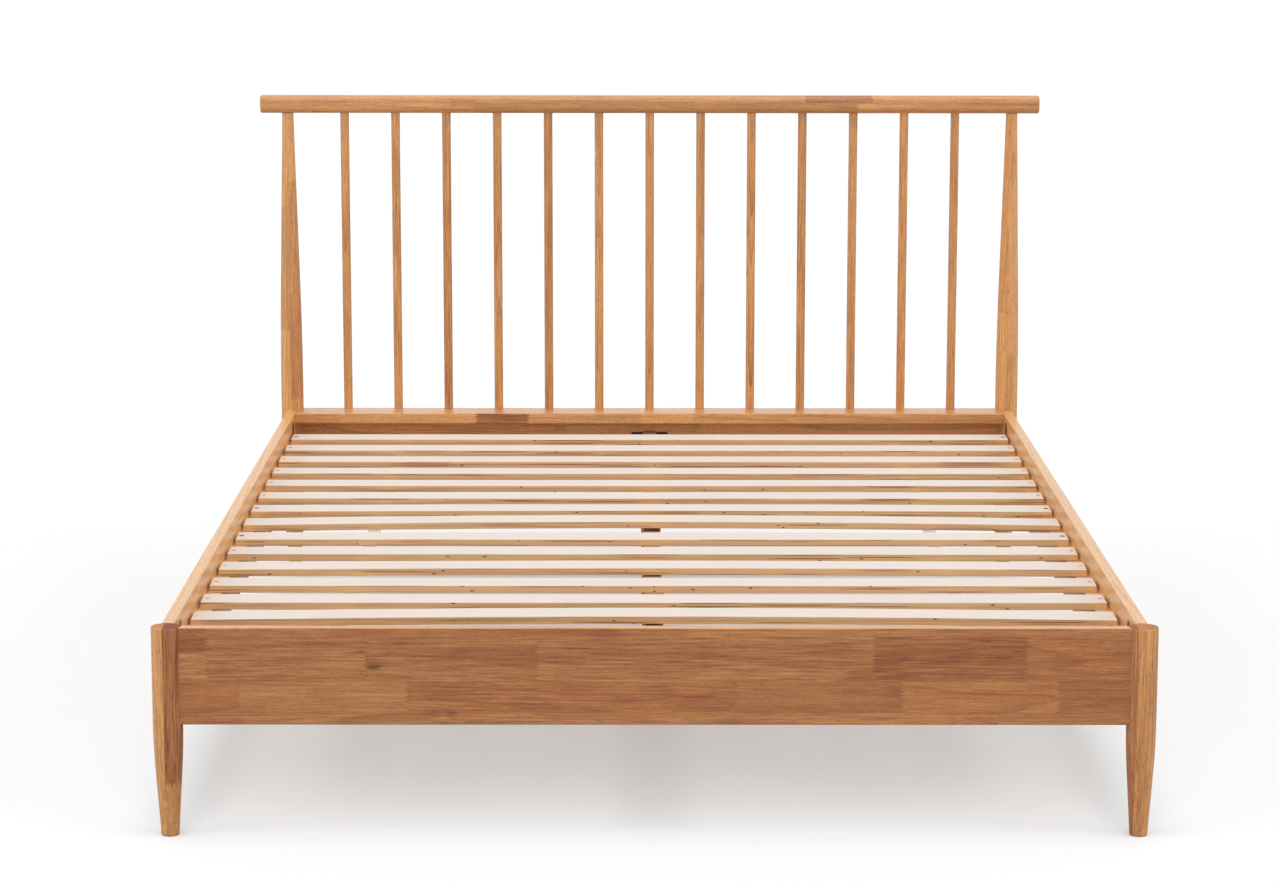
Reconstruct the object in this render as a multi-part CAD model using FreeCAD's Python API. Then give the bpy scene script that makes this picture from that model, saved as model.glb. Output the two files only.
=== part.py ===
"""Spindle bed: four turned legs, a spindle headboard, knock-down side rails and a slatted base.

Millimetres. +Z is up, +Y runs from the foot of the bed to its head, and +X is the right-hand
side for someone who stands at the foot and looks at the headboard. The origin is on the floor,
under the middle of the bed. Each sub-part is one file in parts/, named after its node.
"""
import FreeCAD
import Part
import math
import os

from FreeCAD import Vector

UP = Vector(0, 0, 1)
DOWN = Vector(0, 0, -1)
RIGHT = Vector(1, 0, 0)
BACK = Vector(0, 1, 0)
SIDES = (("left", -1), ("right", 1))
ENDS = (("foot", -1), ("head", 1))

# ---- Mattress that the bed is made for ------------------------------------------------------
mattress_width = 1530.0
mattress_length = 2030.0
mattress_side_gap = 10.0
mattress_end_gap = 9.0

# ---- Side rails and the boards between the legs ---------------------------------------------
floor_to_rail = 186.5
rail_height = 159.5
rail_thickness = 20.0
footboard_thickness = 20.0
footboard_reach = 13.0
head_board_thickness = 20.0
board_edge_ease = 1.5
tenon_thickness = 12.0
tenon_shoulder = 20.0
tenon_stop = 10.0

# ---- Turned legs and headboard posts --------------------------------------------------------
leg_diameter = 48.5
leg_foot_diameter = 28.8
leg_ease_length = 75.0
leg_top_ease = 1.2
leg_foot_ease = 3.0
post_top_diameter = 24.3
post_taper_rise = 159.0
post_ease_length = 220.0
post_tenon_diameter = 18.0
post_tenon_length = 22.0

# ---- Headboard ------------------------------------------------------------------------------
headboard_height = 1035.0
crest_height = 38.0
crest_depth = 36.0
crest_overhang = 58.5
crest_edge_round = 12.0
crest_end_round = 4.0
spindle_count = 13
spindle_diameter = 19.0
spindle_first_gap = 123.0
spindle_crest_depth = 22.0
spindle_ledge_depth = 15.0
ledge_thickness = 23.0
ledge_reach = 60.0
ledge_back = 15.0
ledge_end_gap = 0.5
ledge_edge_ease = 2.0

# ---- Slats, their ledgers and the webbing that spaces them ----------------------------------
slat_count = 14
slat_width = 65.0
slat_thickness = 13.0
slat_end_gap = 5.0
slat_head_gap = 69.5
slat_foot_gap = 187.0
slat_drop = 34.0
slat_edge_ease = 1.2
slat_crowns = {7: 2.0, 8: 7.0, 11: 3.0, 14: 6.5}
screwed_slats = (1, 7, 9)
ledger_width = 25.0
ledger_height = 30.0
ledger_pocket_gap = 8.0
webbing_width = 24.5
webbing_thickness = 1.2
webbing_inset = 247.0

# ---- Centre beam, its hangers and its two legs ----------------------------------------------
beam_width = 30.0
beam_height = 60.0
beam_end_gap = 1.0
bracket_sheet = 2.0
bracket_seat_depth = 40.0
bracket_wing = 22.0
bracket_top_drop = 2.7
bracket_slack = 0.3
bracket_screw_inset = 10.0
centre_leg_offset = 330.0
centre_leg_top_diameter = 40.0
centre_leg_foot_diameter = 32.0
beam_bolt_cover = 12.0

# ---- Levelling glides under the centre legs -------------------------------------------------
glide_pad_diameter = 26.0
glide_pad_height = 6.0
glide_pad_ease = 1.0
glide_spigot_diameter = 6.0
glide_spigot_length = 3.0
glide_collar_flats = 13.0
glide_collar_height = 5.0
glide_stud_diameter = 8.0
glide_stud_grip = 30.0
glide_lift_gap = 13.0
glide_bore_spare = 14.0
insert_diameter = 11.0
insert_length = 18.0
insert_flange_diameter = 17.0
insert_flange_thickness = 1.5

# ---- Corner bolts, nuts and dowels ----------------------------------------------------------
bolt_diameter = 8.0
bolt_spacing = 60.0
bolt_embed = 30.0
bolt_end_spare = 3.0
bolt_chamfer = 1.0
pocket_setback = 56.0
pocket_width = 37.0
pocket_margin = 12.0
washer_width = 13.0
washer_height = 26.0
washer_thickness = 2.5
nut_flats = 13.0
nut_height = 6.5
dowel_diameter = 8.0
dowel_length = 30.0
dowel_end_ease = 0.8
ledge_dowel_steps = (-4.5, -1.5, 1.5, 4.5)
ledge_dowel_cover = 10.0

# ---- Screws and staples ---------------------------------------------------------------------
slat_screw_length = 30.0
slat_screw_diameter = 4.0
slat_screw_head = 9.0
slat_screw_sink = 0.6
ledger_screw_length = 40.0
ledger_screw_diameter = 5.0
ledger_screw_head = 9.5
bracket_screw_length = 15.0
bracket_screw_diameter = 4.5
bracket_screw_head = 9.0
bracket_screw_head_height = 2.2
screw_tip = 4.0
cross_recess_width = 1.0
cross_recess_length = 4.2
cross_recess_depth = 1.2
staple_width = 8.0
staple_wire = 1.2
slat_staple_leg = 22.0
webbing_staple_leg = 10.0

# ---- Clearances -----------------------------------------------------------------------------
cope_gap = 0.2
joint_gap = 0.1
bolt_slack = 0.5
washer_slack = 0.3
thread_gap = 0.05
pocket_slack = 0.5
beyond = 2.0

# ---- Sizes that follow from the ones above --------------------------------------------------
well_width = mattress_width + 2 * mattress_side_gap
well_length = mattress_length + 2 * mattress_end_gap
leg_radius = leg_diameter / 2
rail_top = floor_to_rail + rail_height
rail_middle = floor_to_rail + rail_height / 2
rail_inner_x = well_width / 2
rail_outer_x = rail_inner_x + rail_thickness
leg_axis_x = rail_inner_x + rail_thickness / 2
leg_spacing_y = footboard_thickness - footboard_reach + well_length + ledge_reach
leg_axis_y = leg_spacing_y / 2
footboard_front = -leg_axis_y - footboard_reach
footboard_back = footboard_front + footboard_thickness
head_board_front = leg_axis_y - head_board_thickness / 2
ledge_front = leg_axis_y - ledge_reach
ledge_bottom = rail_top - ledge_thickness
crest_bottom = headboard_height - crest_height
spindle_pitch = 2 * (leg_axis_x - spindle_first_gap) / (spindle_count - 1)
slat_top = rail_top - slat_drop
slat_bottom = slat_top - slat_thickness
slat_half_length = rail_inner_x - slat_end_gap
slat_first_y = ledge_front - slat_head_gap - slat_width / 2
slat_last_y = footboard_back + slat_foot_gap + slat_width / 2
slat_pitch = (slat_first_y - slat_last_y) / (slat_count - 1)
ledger_inner_x = rail_inner_x - ledger_width
ledger_middle_x = rail_inner_x - ledger_width / 2
ledger_middle_z = slat_bottom - ledger_height / 2
pocket_wall_y = leg_axis_y - leg_radius - pocket_setback
pocket_inner_y = pocket_wall_y - pocket_width
pocket_depth = rail_thickness / 2 + nut_flats / 2 + pocket_slack
ledger_end_y = pocket_inner_y - ledger_pocket_gap
webbing_x = slat_half_length - webbing_inset
beam_bottom = slat_bottom - beam_height
beam_front = footboard_back + beam_end_gap
beam_back = head_board_front - beam_end_gap
beam_middle_y = (beam_front + beam_back) / 2
centre_leg_places = (("front", beam_middle_y - centre_leg_offset), ("rear", beam_middle_y + centre_leg_offset))
bolt_length = bolt_embed + pocket_setback + washer_thickness + nut_height + bolt_end_spare
bolt_heights = (rail_middle - bolt_spacing / 2, rail_middle + bolt_spacing / 2)
glide_collar_top = glide_pad_height + glide_collar_height
centre_leg_bottom = glide_collar_top + glide_lift_gap


# ---- Shapes used by many pieces -------------------------------------------------------------
def block(x_low, x_high, y_low, y_high, z_low, z_high):
    """A rectangular block between two corners."""
    corner = Vector(x_low, y_low, z_low)
    return Part.makeBox(x_high - x_low, y_high - y_low, z_high - z_low, corner)


def eased(shape, radius, least_length):
    """Round over the edges that are longer than a given length."""
    long_edges = [edge for edge in shape.Edges if edge.Length > least_length]
    return shape.makeFillet(radius, long_edges)


def turned(outline):
    """Turn an outline of straight lines, given as (radius, height) points, about the Z axis."""
    corners = [Vector(radius, 0, height) for radius, height in outline]
    wire = Part.makePolygon(corners + [corners[0]])
    return Part.Face(wire).revolve(Vector(0, 0, 0), UP, 360)


def pointed(shape, position, direction):
    """Put a shape that was made along +Z at a place, with its +Z turned to a direction."""
    placed = shape.copy()
    placed.Placement = FreeCAD.Placement(position, FreeCAD.Rotation(UP, direction))
    return placed


def extruded(points, run):
    """A flat outline pushed along one direction."""
    wire = Part.makePolygon(points + [points[0]])
    return Part.Face(wire).extrude(run)


def hexagon(flats, height, bore_radius):
    """A hexagon bar about +Z, with one pair of flats square to X, and a bore if it has a radius."""
    corner_radius = flats / 2 / math.cos(math.radians(30))
    points = []
    for step in range(6):
        angle = math.radians(30 + 60 * step)
        points.append(Vector(corner_radius * math.cos(angle), corner_radius * math.sin(angle), 0))
    bar = extruded(points, Vector(0, 0, height))
    if bore_radius > 0:
        bar = bar.cut(Part.makeCylinder(bore_radius, height))
    return bar


def mirrored(shape):
    """The left-hand copy of a right-hand piece."""
    return shape.mirror(Vector(0, 0, 0), RIGHT)


def for_side(shape, side):
    """A right-hand piece as it is, or its mirror copy on the left."""
    if side < 0:
        return mirrored(shape)
    return shape


def save(name, shape):
    """Write one node, which is one solid or a group of separate ones."""
    if isinstance(shape, list):
        shape = Part.makeCompound(shape)
    shape.exportStep("parts/" + name + ".step")


# ---- Fasteners ------------------------------------------------------------------------------
def chamfered_rod(diameter, length, chamfer):
    """A round bar along +Z from the origin, with both ends chamfered."""
    radius = diameter / 2
    outline = [(0, 0), (radius - chamfer, 0), (radius, chamfer)]
    outline += [(radius, length - chamfer), (radius - chamfer, length), (0, length)]
    return turned(outline)


def countersunk_screw(length, diameter, head, gap=0.0):
    """A screw along +Z, with the face of its cone head at the origin. A gap makes its hole."""
    shank = diameter / 2 + gap
    rim = head / 2 + gap
    outline = [(0, 0), (rim, 0), (shank, rim - shank), (shank, length - screw_tip), (0, length + gap)]
    screw = turned(outline)
    if gap > 0:
        return screw
    return screw.cut(cross_recess())


def cross_recess():
    """The cross in a screw's head, cut down from the origin along +Z."""
    long_half = cross_recess_length / 2
    short_half = cross_recess_width / 2
    one = block(-long_half, long_half, -short_half, short_half, 0, cross_recess_depth)
    other = block(-short_half, short_half, -long_half, long_half, 0, cross_recess_depth)
    return one.fuse(other)


def pan_screw(length, diameter, head, head_height):
    """A screw along +Z whose flat-bottomed head stands above the origin."""
    shank = diameter / 2
    rim = head / 2
    outline = [(0, -head_height), (rim - head_height / 2, -head_height), (rim, -head_height / 2)]
    outline += [(rim, 0), (shank, 0), (shank, length - screw_tip), (0, length)]
    recess = cross_recess()
    recess.translate(Vector(0, 0, -head_height))
    return turned(outline).cut(recess)


def staple(x, y, z, leg, toward, gap=0.0):
    """A staple with its crown along X and its legs up (+1) or down (-1). A gap makes its holes."""
    half = staple_width / 2 + gap
    inner = half - staple_wire - 2 * gap
    crown = -gap * toward
    inside = (staple_wire + gap) * toward
    tip = (leg + gap) * toward
    profile = [(-half, crown), (half, crown), (half, tip), (inner, tip)]
    profile += [(inner, inside), (-inner, inside), (-inner, tip), (-half, tip)]
    front = y - staple_wire / 2 - gap
    points = [Vector(x + across, front, z + rise) for across, rise in profile]
    return extruded(points, Vector(0, staple_wire + 2 * gap, 0))


def slat_screw_place(side, number):
    """Where the head of a slat's end screw lies, a little under the slat's face."""
    return Vector(side * ledger_middle_x, slat_y(number), slat_top - slat_screw_sink)


def ledger_screw_rows():
    """The ledger's screws lie midway between every other pair of slats."""
    return [slat_y(number) - slat_pitch / 2 for number in range(1, slat_count, 2)]


# ---- Slat layout ----------------------------------------------------------------------------
def slat_y(number):
    """The middle line of a slat, counted from the head of the bed."""
    return slat_first_y - slat_pitch * (number - 1)


def crown_rise(number, x):
    """How far a bowed slat stands above a flat one at a distance from the bed's middle."""
    crown = slat_crowns.get(number, 0.0)
    if crown == 0.0:
        return 0.0
    radius = bow_radius(crown)
    return math.sqrt(radius ** 2 - x ** 2) - (radius - crown)


def slat_staple_holes(number, side, gap=0.0):
    """The staple at one end of a slat, down through the slat and into the ledger."""
    return staple(side * ledger_middle_x, slat_y(number), slat_top, slat_staple_leg, -1, gap)


def webbing_staple(number, side, gap=0.0):
    """The staple under a slat that holds the webbing, up through the webbing into the slat."""
    under = webbing_under(number) - staple_wire
    return staple(side * webbing_x, slat_y(number), under, webbing_staple_leg, 1, gap)


def webbing_under(number):
    """The lower face of the webbing where it lies against a slat."""
    outer_edge = webbing_x + webbing_width / 2
    return slat_bottom + crown_rise(number, outer_edge) - webbing_thickness


# ---- Legs and posts -------------------------------------------------------------------------
def eased_corner(before, corner, after):
    """A curve that leaves one line and joins the next without a kink."""
    curve = Part.BezierCurve()
    curve.setPoles([before, corner, after])
    return curve.toShape()


def outline_point(radius, height):
    """A point on a turned outline."""
    return Vector(radius, 0, height)


def foot_outline():
    """The lower outline of every leg: a rounded foot, a straight taper, then a curve to full size."""
    foot_radius = leg_foot_diameter / 2
    shoulder = outline_point(leg_radius, floor_to_rail)
    bend = outline_point(leg_radius, floor_to_rail - leg_ease_length / 2)
    knee_height = floor_to_rail - leg_ease_length
    slope = (leg_radius - foot_radius) / bend.z
    knee = outline_point(foot_radius + slope * knee_height, knee_height)
    foot_side = outline_point(foot_radius + slope * leg_foot_ease, leg_foot_ease)
    foot_flat = outline_point(foot_radius - leg_foot_ease, 0)
    centre = outline_point(0, 0)
    edges = [Part.makeLine(centre, foot_flat)]
    edges.append(eased_corner(foot_flat, outline_point(foot_radius, 0), foot_side))
    edges.append(Part.makeLine(foot_side, knee))
    edges.append(eased_corner(knee, bend, shoulder))
    return edges, shoulder


def spin(edges):
    """Turn a closed outline of edges into a solid."""
    return Part.Face(Part.Wire(edges)).revolve(Vector(0, 0, 0), UP, 360)


def leg_blank():
    """A front leg before its joints are cut: flush with the rails, its top edge eased."""
    edges, shoulder = foot_outline()
    side_end = outline_point(leg_radius, rail_top - leg_top_ease)
    top_start = outline_point(leg_radius - leg_top_ease, rail_top)
    top = outline_point(0, rail_top)
    edges.append(Part.makeLine(shoulder, side_end))
    edges.append(eased_corner(side_end, outline_point(leg_radius, rail_top), top_start))
    edges.append(Part.makeLine(top_start, top))
    edges.append(Part.makeLine(top, outline_point(0, 0)))
    return spin(edges)


def post_blank():
    """A rear post before its joints are cut: it tapers again above the rails, up to its tenon."""
    edges, shoulder = foot_outline()
    top_radius = post_top_diameter / 2
    tenon_radius = post_tenon_diameter / 2
    bend = outline_point(leg_radius, rail_top + post_taper_rise)
    start = outline_point(leg_radius, bend.z - post_ease_length / 2)
    slope = (leg_radius - top_radius) / (crest_bottom - bend.z)
    end = outline_point(leg_radius - slope * post_ease_length / 2, bend.z + post_ease_length / 2)
    corners = [end, outline_point(top_radius, crest_bottom), outline_point(tenon_radius, crest_bottom)]
    tenon_top = crest_bottom + post_tenon_length
    corners += [outline_point(tenon_radius, tenon_top), outline_point(0, tenon_top), outline_point(0, 0)]
    edges.append(Part.makeLine(shoulder, start))
    edges.append(eased_corner(start, bend, end))
    for first, second in zip(corners, corners[1:]):
        edges.append(Part.makeLine(first, second))
    return spin(edges)


def board_tenon(end, board_middle_y, z_low, z_high, gap=0.0):
    """The tenon on a board's right end, or its mortise if it has a gap."""
    tip = leg_axis_x - tenon_stop + gap
    root = leg_axis_x - leg_radius - beyond
    half = tenon_thickness / 2 + gap
    low = z_low + tenon_shoulder - gap
    high = z_high - tenon_shoulder + gap
    return for_side(block(root, tip, board_middle_y - half, board_middle_y + half, low, high), end)


def footboard_tenon(side, gap=0.0):
    middle = footboard_front + footboard_thickness / 2
    return board_tenon(side, middle, floor_to_rail, rail_top, gap)


def head_board_tenon(side, gap=0.0):
    return board_tenon(side, leg_axis_y, floor_to_rail, ledge_bottom, gap)


def corner_bolt(side, end, z):
    """One corner bolt, from inside the leg to the pocket in the rail."""
    start = Vector(side * leg_axis_x, end * (leg_axis_y - leg_radius + bolt_embed), z)
    return pointed(chamfered_rod(bolt_diameter, bolt_length, bolt_chamfer), start, BACK * -end)


def corner_dowel(side, end):
    """The dowel that keeps a rail from turning on its leg, midway between the two bolts."""
    start = Vector(side * leg_axis_x, end * (leg_axis_y - leg_radius + dowel_length / 2), rail_middle)
    return pointed(chamfered_rod(dowel_diameter, dowel_length, dowel_end_ease), start, BACK * -end)


def corner_bores(side, end):
    """What is bored for one corner's bolts and dowel, in the leg and in the rail's end grain."""
    inside_leg = end * (leg_axis_y - leg_radius + bolt_embed + joint_gap)
    reach = bolt_embed + joint_gap + pocket_setback + beyond
    bores = []
    for z in bolt_heights:
        start = Vector(side * leg_axis_x, inside_leg, z)
        bores.append(Part.makeCylinder(bolt_diameter / 2 + joint_gap, reach, start, BACK * -end))
    dowel_start = end * (leg_axis_y - leg_radius + dowel_length / 2 + joint_gap)
    start = Vector(side * leg_axis_x, dowel_start, rail_middle)
    dowel_reach = dowel_length + 2 * joint_gap
    bores.append(Part.makeCylinder(dowel_diameter / 2 + joint_gap, dowel_reach, start, BACK * -end))
    return bores


def front_leg(side):
    leg = leg_blank()
    leg.translate(Vector(side * leg_axis_x, -leg_axis_y, 0))
    return leg.cut([footboard_tenon(side, joint_gap)] + corner_bores(side, -1))


def rear_post(side):
    post = post_blank()
    post.translate(Vector(side * leg_axis_x, leg_axis_y, 0))
    return post.cut([head_board_tenon(side, joint_gap)] + corner_bores(side, 1))


def leg_cope(side, end):
    """The round hollow by which rails, boards and the ledge fit around a leg or post."""
    foot = Vector(side * leg_axis_x, end * leg_axis_y, 0)
    return Part.makeCylinder(leg_radius + cope_gap, rail_top + beyond, foot)


# ---- Rails and boards -----------------------------------------------------------------------
def bolt_pocket(side, end):
    """The round-ended pocket in a rail's inner face, where the bolts get their nuts."""
    radius = pocket_width / 2
    low = floor_to_rail + pocket_margin + radius
    high = rail_top - pocket_margin - radius
    middle_y = (pocket_wall_y + pocket_inner_y) / 2
    mouth = rail_inner_x - beyond
    depth = pocket_depth + beyond
    pocket = block(mouth, mouth + depth, pocket_inner_y, pocket_wall_y, low, high)
    ends = [Part.makeCylinder(radius, depth, Vector(mouth, middle_y, z), RIGHT) for z in (low, high)]
    pocket = pocket.fuse(ends).removeSplitter()
    if end < 0:
        pocket = pocket.mirror(Vector(0, 0, 0), BACK)
    return for_side(pocket, side)


def side_rail(side):
    rail = block(rail_inner_x, rail_outer_x, -leg_axis_y, leg_axis_y, floor_to_rail, rail_top)
    rail = eased(rail, board_edge_ease, leg_axis_y)
    rail = for_side(rail, side)
    for _, end in ENDS:
        rail = rail.cut([leg_cope(side, end), bolt_pocket(side, end)])
        rail = rail.cut(corner_bores(side, end))
    return rail.cut([ledger_screw_hole(side, y) for y in ledger_screw_rows()])


def footboard():
    board = block(-leg_axis_x, leg_axis_x, footboard_front, footboard_back, floor_to_rail, rail_top)
    board = eased(board, board_edge_ease, leg_axis_x)
    board = board.cut([leg_cope(side, -1) for _, side in SIDES])
    board = board.fuse([footboard_tenon(side) for _, side in SIDES]).removeSplitter()
    return board.cut(bracket_screw_holes(-1))


def head_board():
    """The board between the posts, which carries the ledge and the head end of the beam."""
    back = head_board_front + head_board_thickness
    board = block(-leg_axis_x, leg_axis_x, head_board_front, back, floor_to_rail, ledge_bottom)
    board = board.cut([leg_cope(side, 1) for _, side in SIDES])
    board = board.fuse([head_board_tenon(side) for _, side in SIDES]).removeSplitter()
    return board.cut(bracket_screw_holes(1) + ledge_dowel_bores())


def head_ledge():
    """The ledge that the spindles stand in, let in around both posts."""
    half = rail_inner_x - ledge_end_gap
    ledge = block(-half, half, ledge_front, leg_axis_y + ledge_back, ledge_bottom, rail_top)
    ledge = eased(ledge, ledge_edge_ease, rail_inner_x)
    ledge = ledge.cut([leg_cope(side, 1) for _, side in SIDES])
    seat = rail_top - spindle_ledge_depth
    bores = [spindle_bore(x, seat, spindle_ledge_depth + beyond) for x in spindle_places()]
    return ledge.cut(bores + ledge_dowel_bores())


def ledge_dowel_start(step):
    """The lower end of a dowel in the joint between the head board and the ledge."""
    top = ledge_bottom + min(ledge_dowel_cover, ledge_thickness / 2)
    return Vector(step * spindle_pitch, leg_axis_y, top - dowel_length)


def ledge_dowels():
    rod = chamfered_rod(dowel_diameter, dowel_length, dowel_end_ease)
    return [pointed(rod, ledge_dowel_start(step), UP) for step in ledge_dowel_steps]


def ledge_dowel_bores():
    radius = dowel_diameter / 2 + joint_gap
    length = dowel_length + 2 * joint_gap
    lower = Vector(0, 0, -joint_gap)
    return [Part.makeCylinder(radius, length, ledge_dowel_start(step) + lower) for step in ledge_dowel_steps]


# ---- Headboard ------------------------------------------------------------------------------
def spindle_places():
    """The spindles' distances from the bed's middle, left to right."""
    middle = (spindle_count - 1) / 2
    return [(index - middle) * spindle_pitch for index in range(spindle_count)]


def spindle_bore(x, z, depth):
    return Part.makeCylinder(spindle_diameter / 2 + joint_gap, depth, Vector(x, leg_axis_y, z))


def spindle(x):
    foot = rail_top - spindle_ledge_depth + joint_gap
    head = crest_bottom + spindle_crest_depth - joint_gap
    return Part.makeCylinder(spindle_diameter / 2, head - foot, Vector(x, leg_axis_y, foot))


def crest_rail():
    """The rounded top rail, bored from below for the spindles and the posts' tenons."""
    half = leg_axis_x + crest_overhang
    front = leg_axis_y - crest_depth / 2
    rail = block(-half, half, front, front + crest_depth, crest_bottom, headboard_height)
    rail = eased(rail, crest_edge_round, half)
    tips = [edge for edge in rail.Edges if abs(edge.CenterOfMass.x) > half - joint_gap]
    rail = rail.makeFillet(crest_end_round, tips)
    start = crest_bottom - beyond
    bores = [spindle_bore(x, start, spindle_crest_depth + beyond) for x in spindle_places()]
    radius = post_tenon_diameter / 2 + joint_gap
    depth = post_tenon_length + joint_gap + beyond
    for _, side in SIDES:
        bores.append(Part.makeCylinder(radius, depth, Vector(side * leg_axis_x, leg_axis_y, start)))
    return rail.cut(bores)


# ---- Slatted base ---------------------------------------------------------------------------
def slat_profile(rise):
    """A slat's cross-section with its long edges eased, at the bed's middle."""
    bar = block(0, slat_width, -slat_width / 2, slat_width / 2, slat_bottom, slat_top)
    along = [edge for edge in bar.Edges if abs(edge.tangentAt(edge.FirstParameter).x) > 0.5]
    bar = bar.makeFillet(slat_edge_ease, along)
    face = min(bar.Faces, key=lambda side: side.CenterOfMass.x).copy()
    face.translate(Vector(0, 0, rise))
    return face


def bow_radius(crown):
    """The radius of a bowed slat's underside."""
    return (slat_half_length ** 2 + crown ** 2) / (2 * crown)


def slat_blank(crown):
    """A straight bar, or one bent to a shallow arc whose underside ends at the ledgers."""
    face = slat_profile(crown)
    if crown == 0.0:
        face.translate(Vector(-slat_half_length, 0, 0))
        return face.extrude(Vector(2 * slat_half_length, 0, 0))
    centre = Vector(0, 0, slat_bottom + crown - bow_radius(crown))
    half_angle = math.degrees(math.asin(slat_half_length / bow_radius(crown)))
    face.rotate(centre, BACK, -half_angle)
    return Part.Solid(face.revolve(centre, BACK, 2 * half_angle))


def slat(number):
    bar = slat_blank(slat_crowns.get(number, 0.0))
    bar.translate(Vector(0, slat_y(number), 0))
    holes = [webbing_staple(number, side, joint_gap) for _, side in SIDES]
    for _, side in SIDES:
        if number in screwed_slats:
            holes += slat_screw_hole(side, number)
        else:
            holes.append(slat_staple_holes(number, side, joint_gap))
    return bar.cut(holes)


def slat_screw_hole(side, number):
    """The countersunk hole for a slat's end screw, open to the slat's face."""
    place = slat_screw_place(side, number)
    hole = countersunk_screw(slat_screw_length, slat_screw_diameter, slat_screw_head, joint_gap)
    mouth = Part.makeCylinder(slat_screw_head / 2 + joint_gap, slat_screw_sink + beyond, place)
    return [pointed(hole, place, DOWN), mouth]


def slat_ledger(side):
    """The strip along a side rail that the slats' ends lie on."""
    low = slat_bottom - ledger_height
    strip = block(ledger_inner_x, rail_inner_x, -ledger_end_y, ledger_end_y, low, slat_bottom)
    strip = for_side(strip, side)
    holes = [ledger_screw_hole(side, y) for y in ledger_screw_rows()]
    for number in range(1, slat_count + 1):
        if number in screwed_slats:
            holes += slat_screw_hole(side, number)
        else:
            holes.append(slat_staple_holes(number, side, joint_gap))
    return strip.cut(holes)


def ledger_screw(side, y, gap=0.0):
    screw = countersunk_screw(ledger_screw_length, ledger_screw_diameter, ledger_screw_head, gap)
    return pointed(screw, Vector(side * ledger_inner_x, y, ledger_middle_z), RIGHT * side)


def ledger_screw_hole(side, y):
    return ledger_screw(side, y, joint_gap)


def slat_webbing(side):
    """The flat strap under the slats: it lies against each one and spans the gaps between."""
    lower = []
    for number in range(slat_count, 0, -1):
        for edge in (-1, 1):
            lower.append(Vector(0, slat_y(number) + edge * slat_width / 2, webbing_under(number)))
    upper = [point + Vector(0, 0, webbing_thickness) for point in reversed(lower)]
    strap = extruded(lower + upper, Vector(webbing_width, 0, 0))
    strap.translate(Vector(side * webbing_x - webbing_width / 2, 0, 0))
    return strap.cut([webbing_staple(number, side, joint_gap) for number in range(1, slat_count + 1)])


# ---- Centre beam ----------------------------------------------------------------------------
def centre_beam():
    half = beam_width / 2
    beam = block(-half, half, beam_front, beam_back, beam_bottom, slat_bottom)
    radius = bolt_diameter / 2 + joint_gap
    depth = beam_height - beam_bolt_cover + joint_gap + beyond
    start = beam_bottom - beyond
    return beam.cut([Part.makeCylinder(radius, depth, Vector(0, y, start)) for _, y in centre_leg_places])


def bracket_face(end):
    """The board face that a beam bracket is screwed to."""
    if end < 0:
        return footboard_back
    return head_board_front


def bracket_screw_places(end):
    """The four screws of a bracket: near the top and bottom of each wing."""
    across = beam_width / 2 + bracket_slack + bracket_sheet + bracket_wing / 2
    low = beam_bottom + bracket_screw_inset
    high = slat_bottom - bracket_top_drop - bracket_screw_inset
    face = bracket_face(end) - end * bracket_sheet
    return [Vector(side * across, face, z) for _, side in SIDES for z in (low, high)]


def bracket_screw_holes(end):
    radius = bracket_screw_diameter / 2 + joint_gap
    depth = bracket_screw_length + joint_gap
    return [Part.makeCylinder(radius, depth, place, BACK * end) for place in bracket_screw_places(end)]


def beam_bracket(end):
    """A folded sheet hanger: two wings on the board, two cheeks and a seat under the beam."""
    inner = beam_width / 2 + bracket_slack
    outer = inner + bracket_sheet
    wing_edge = outer + bracket_wing
    low = beam_bottom - bracket_sheet
    high = slat_bottom - bracket_top_drop
    face = bracket_face(end)
    near, far = sorted((face, face - end * bracket_seat_depth))
    wing_near, wing_far = sorted((face, face - end * bracket_sheet))
    hanger = block(-outer, outer, near, far, low, beam_bottom)
    for _, side in SIDES:
        cheek = for_side(block(inner, outer, near, far, low, high), side)
        wing = for_side(block(inner, wing_edge, wing_near, wing_far, low, high), side)
        hanger = hanger.fuse([cheek, wing])
    return hanger.removeSplitter().cut(bracket_screw_holes(end))


def centre_leg(y):
    """A short tapered leg under the beam, bored for its bolt above and for its insert below."""
    top_radius = centre_leg_top_diameter / 2
    foot_radius = centre_leg_foot_diameter / 2
    length = beam_bottom - centre_leg_bottom
    leg = Part.makeCone(foot_radius, top_radius, length, Vector(0, y, centre_leg_bottom))
    bolt_start = centre_bolt_bottom() - joint_gap
    bolt_reach = beam_bottom + beyond - bolt_start
    bolt_bore = Part.makeCylinder(bolt_diameter / 2 + joint_gap, bolt_reach, Vector(0, y, bolt_start))
    mouth = Vector(0, y, centre_leg_bottom - beyond)
    insert_bore = Part.makeCylinder(insert_diameter / 2 + joint_gap, insert_length + beyond, mouth)
    stud_reach = glide_stud_grip + glide_bore_spare + beyond
    stud_bore = Part.makeCylinder(glide_stud_diameter / 2 + bolt_slack, stud_reach, mouth)
    return leg.cut([bolt_bore, insert_bore, stud_bore])


def centre_bolt_bottom():
    """The lower end of the bolt that joins a centre leg to the beam."""
    return slat_bottom - beam_bolt_cover - bolt_length


def centre_leg_bolt(y):
    rod = chamfered_rod(bolt_diameter, bolt_length, bolt_chamfer)
    return pointed(rod, Vector(0, y, centre_bolt_bottom()), UP)


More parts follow.
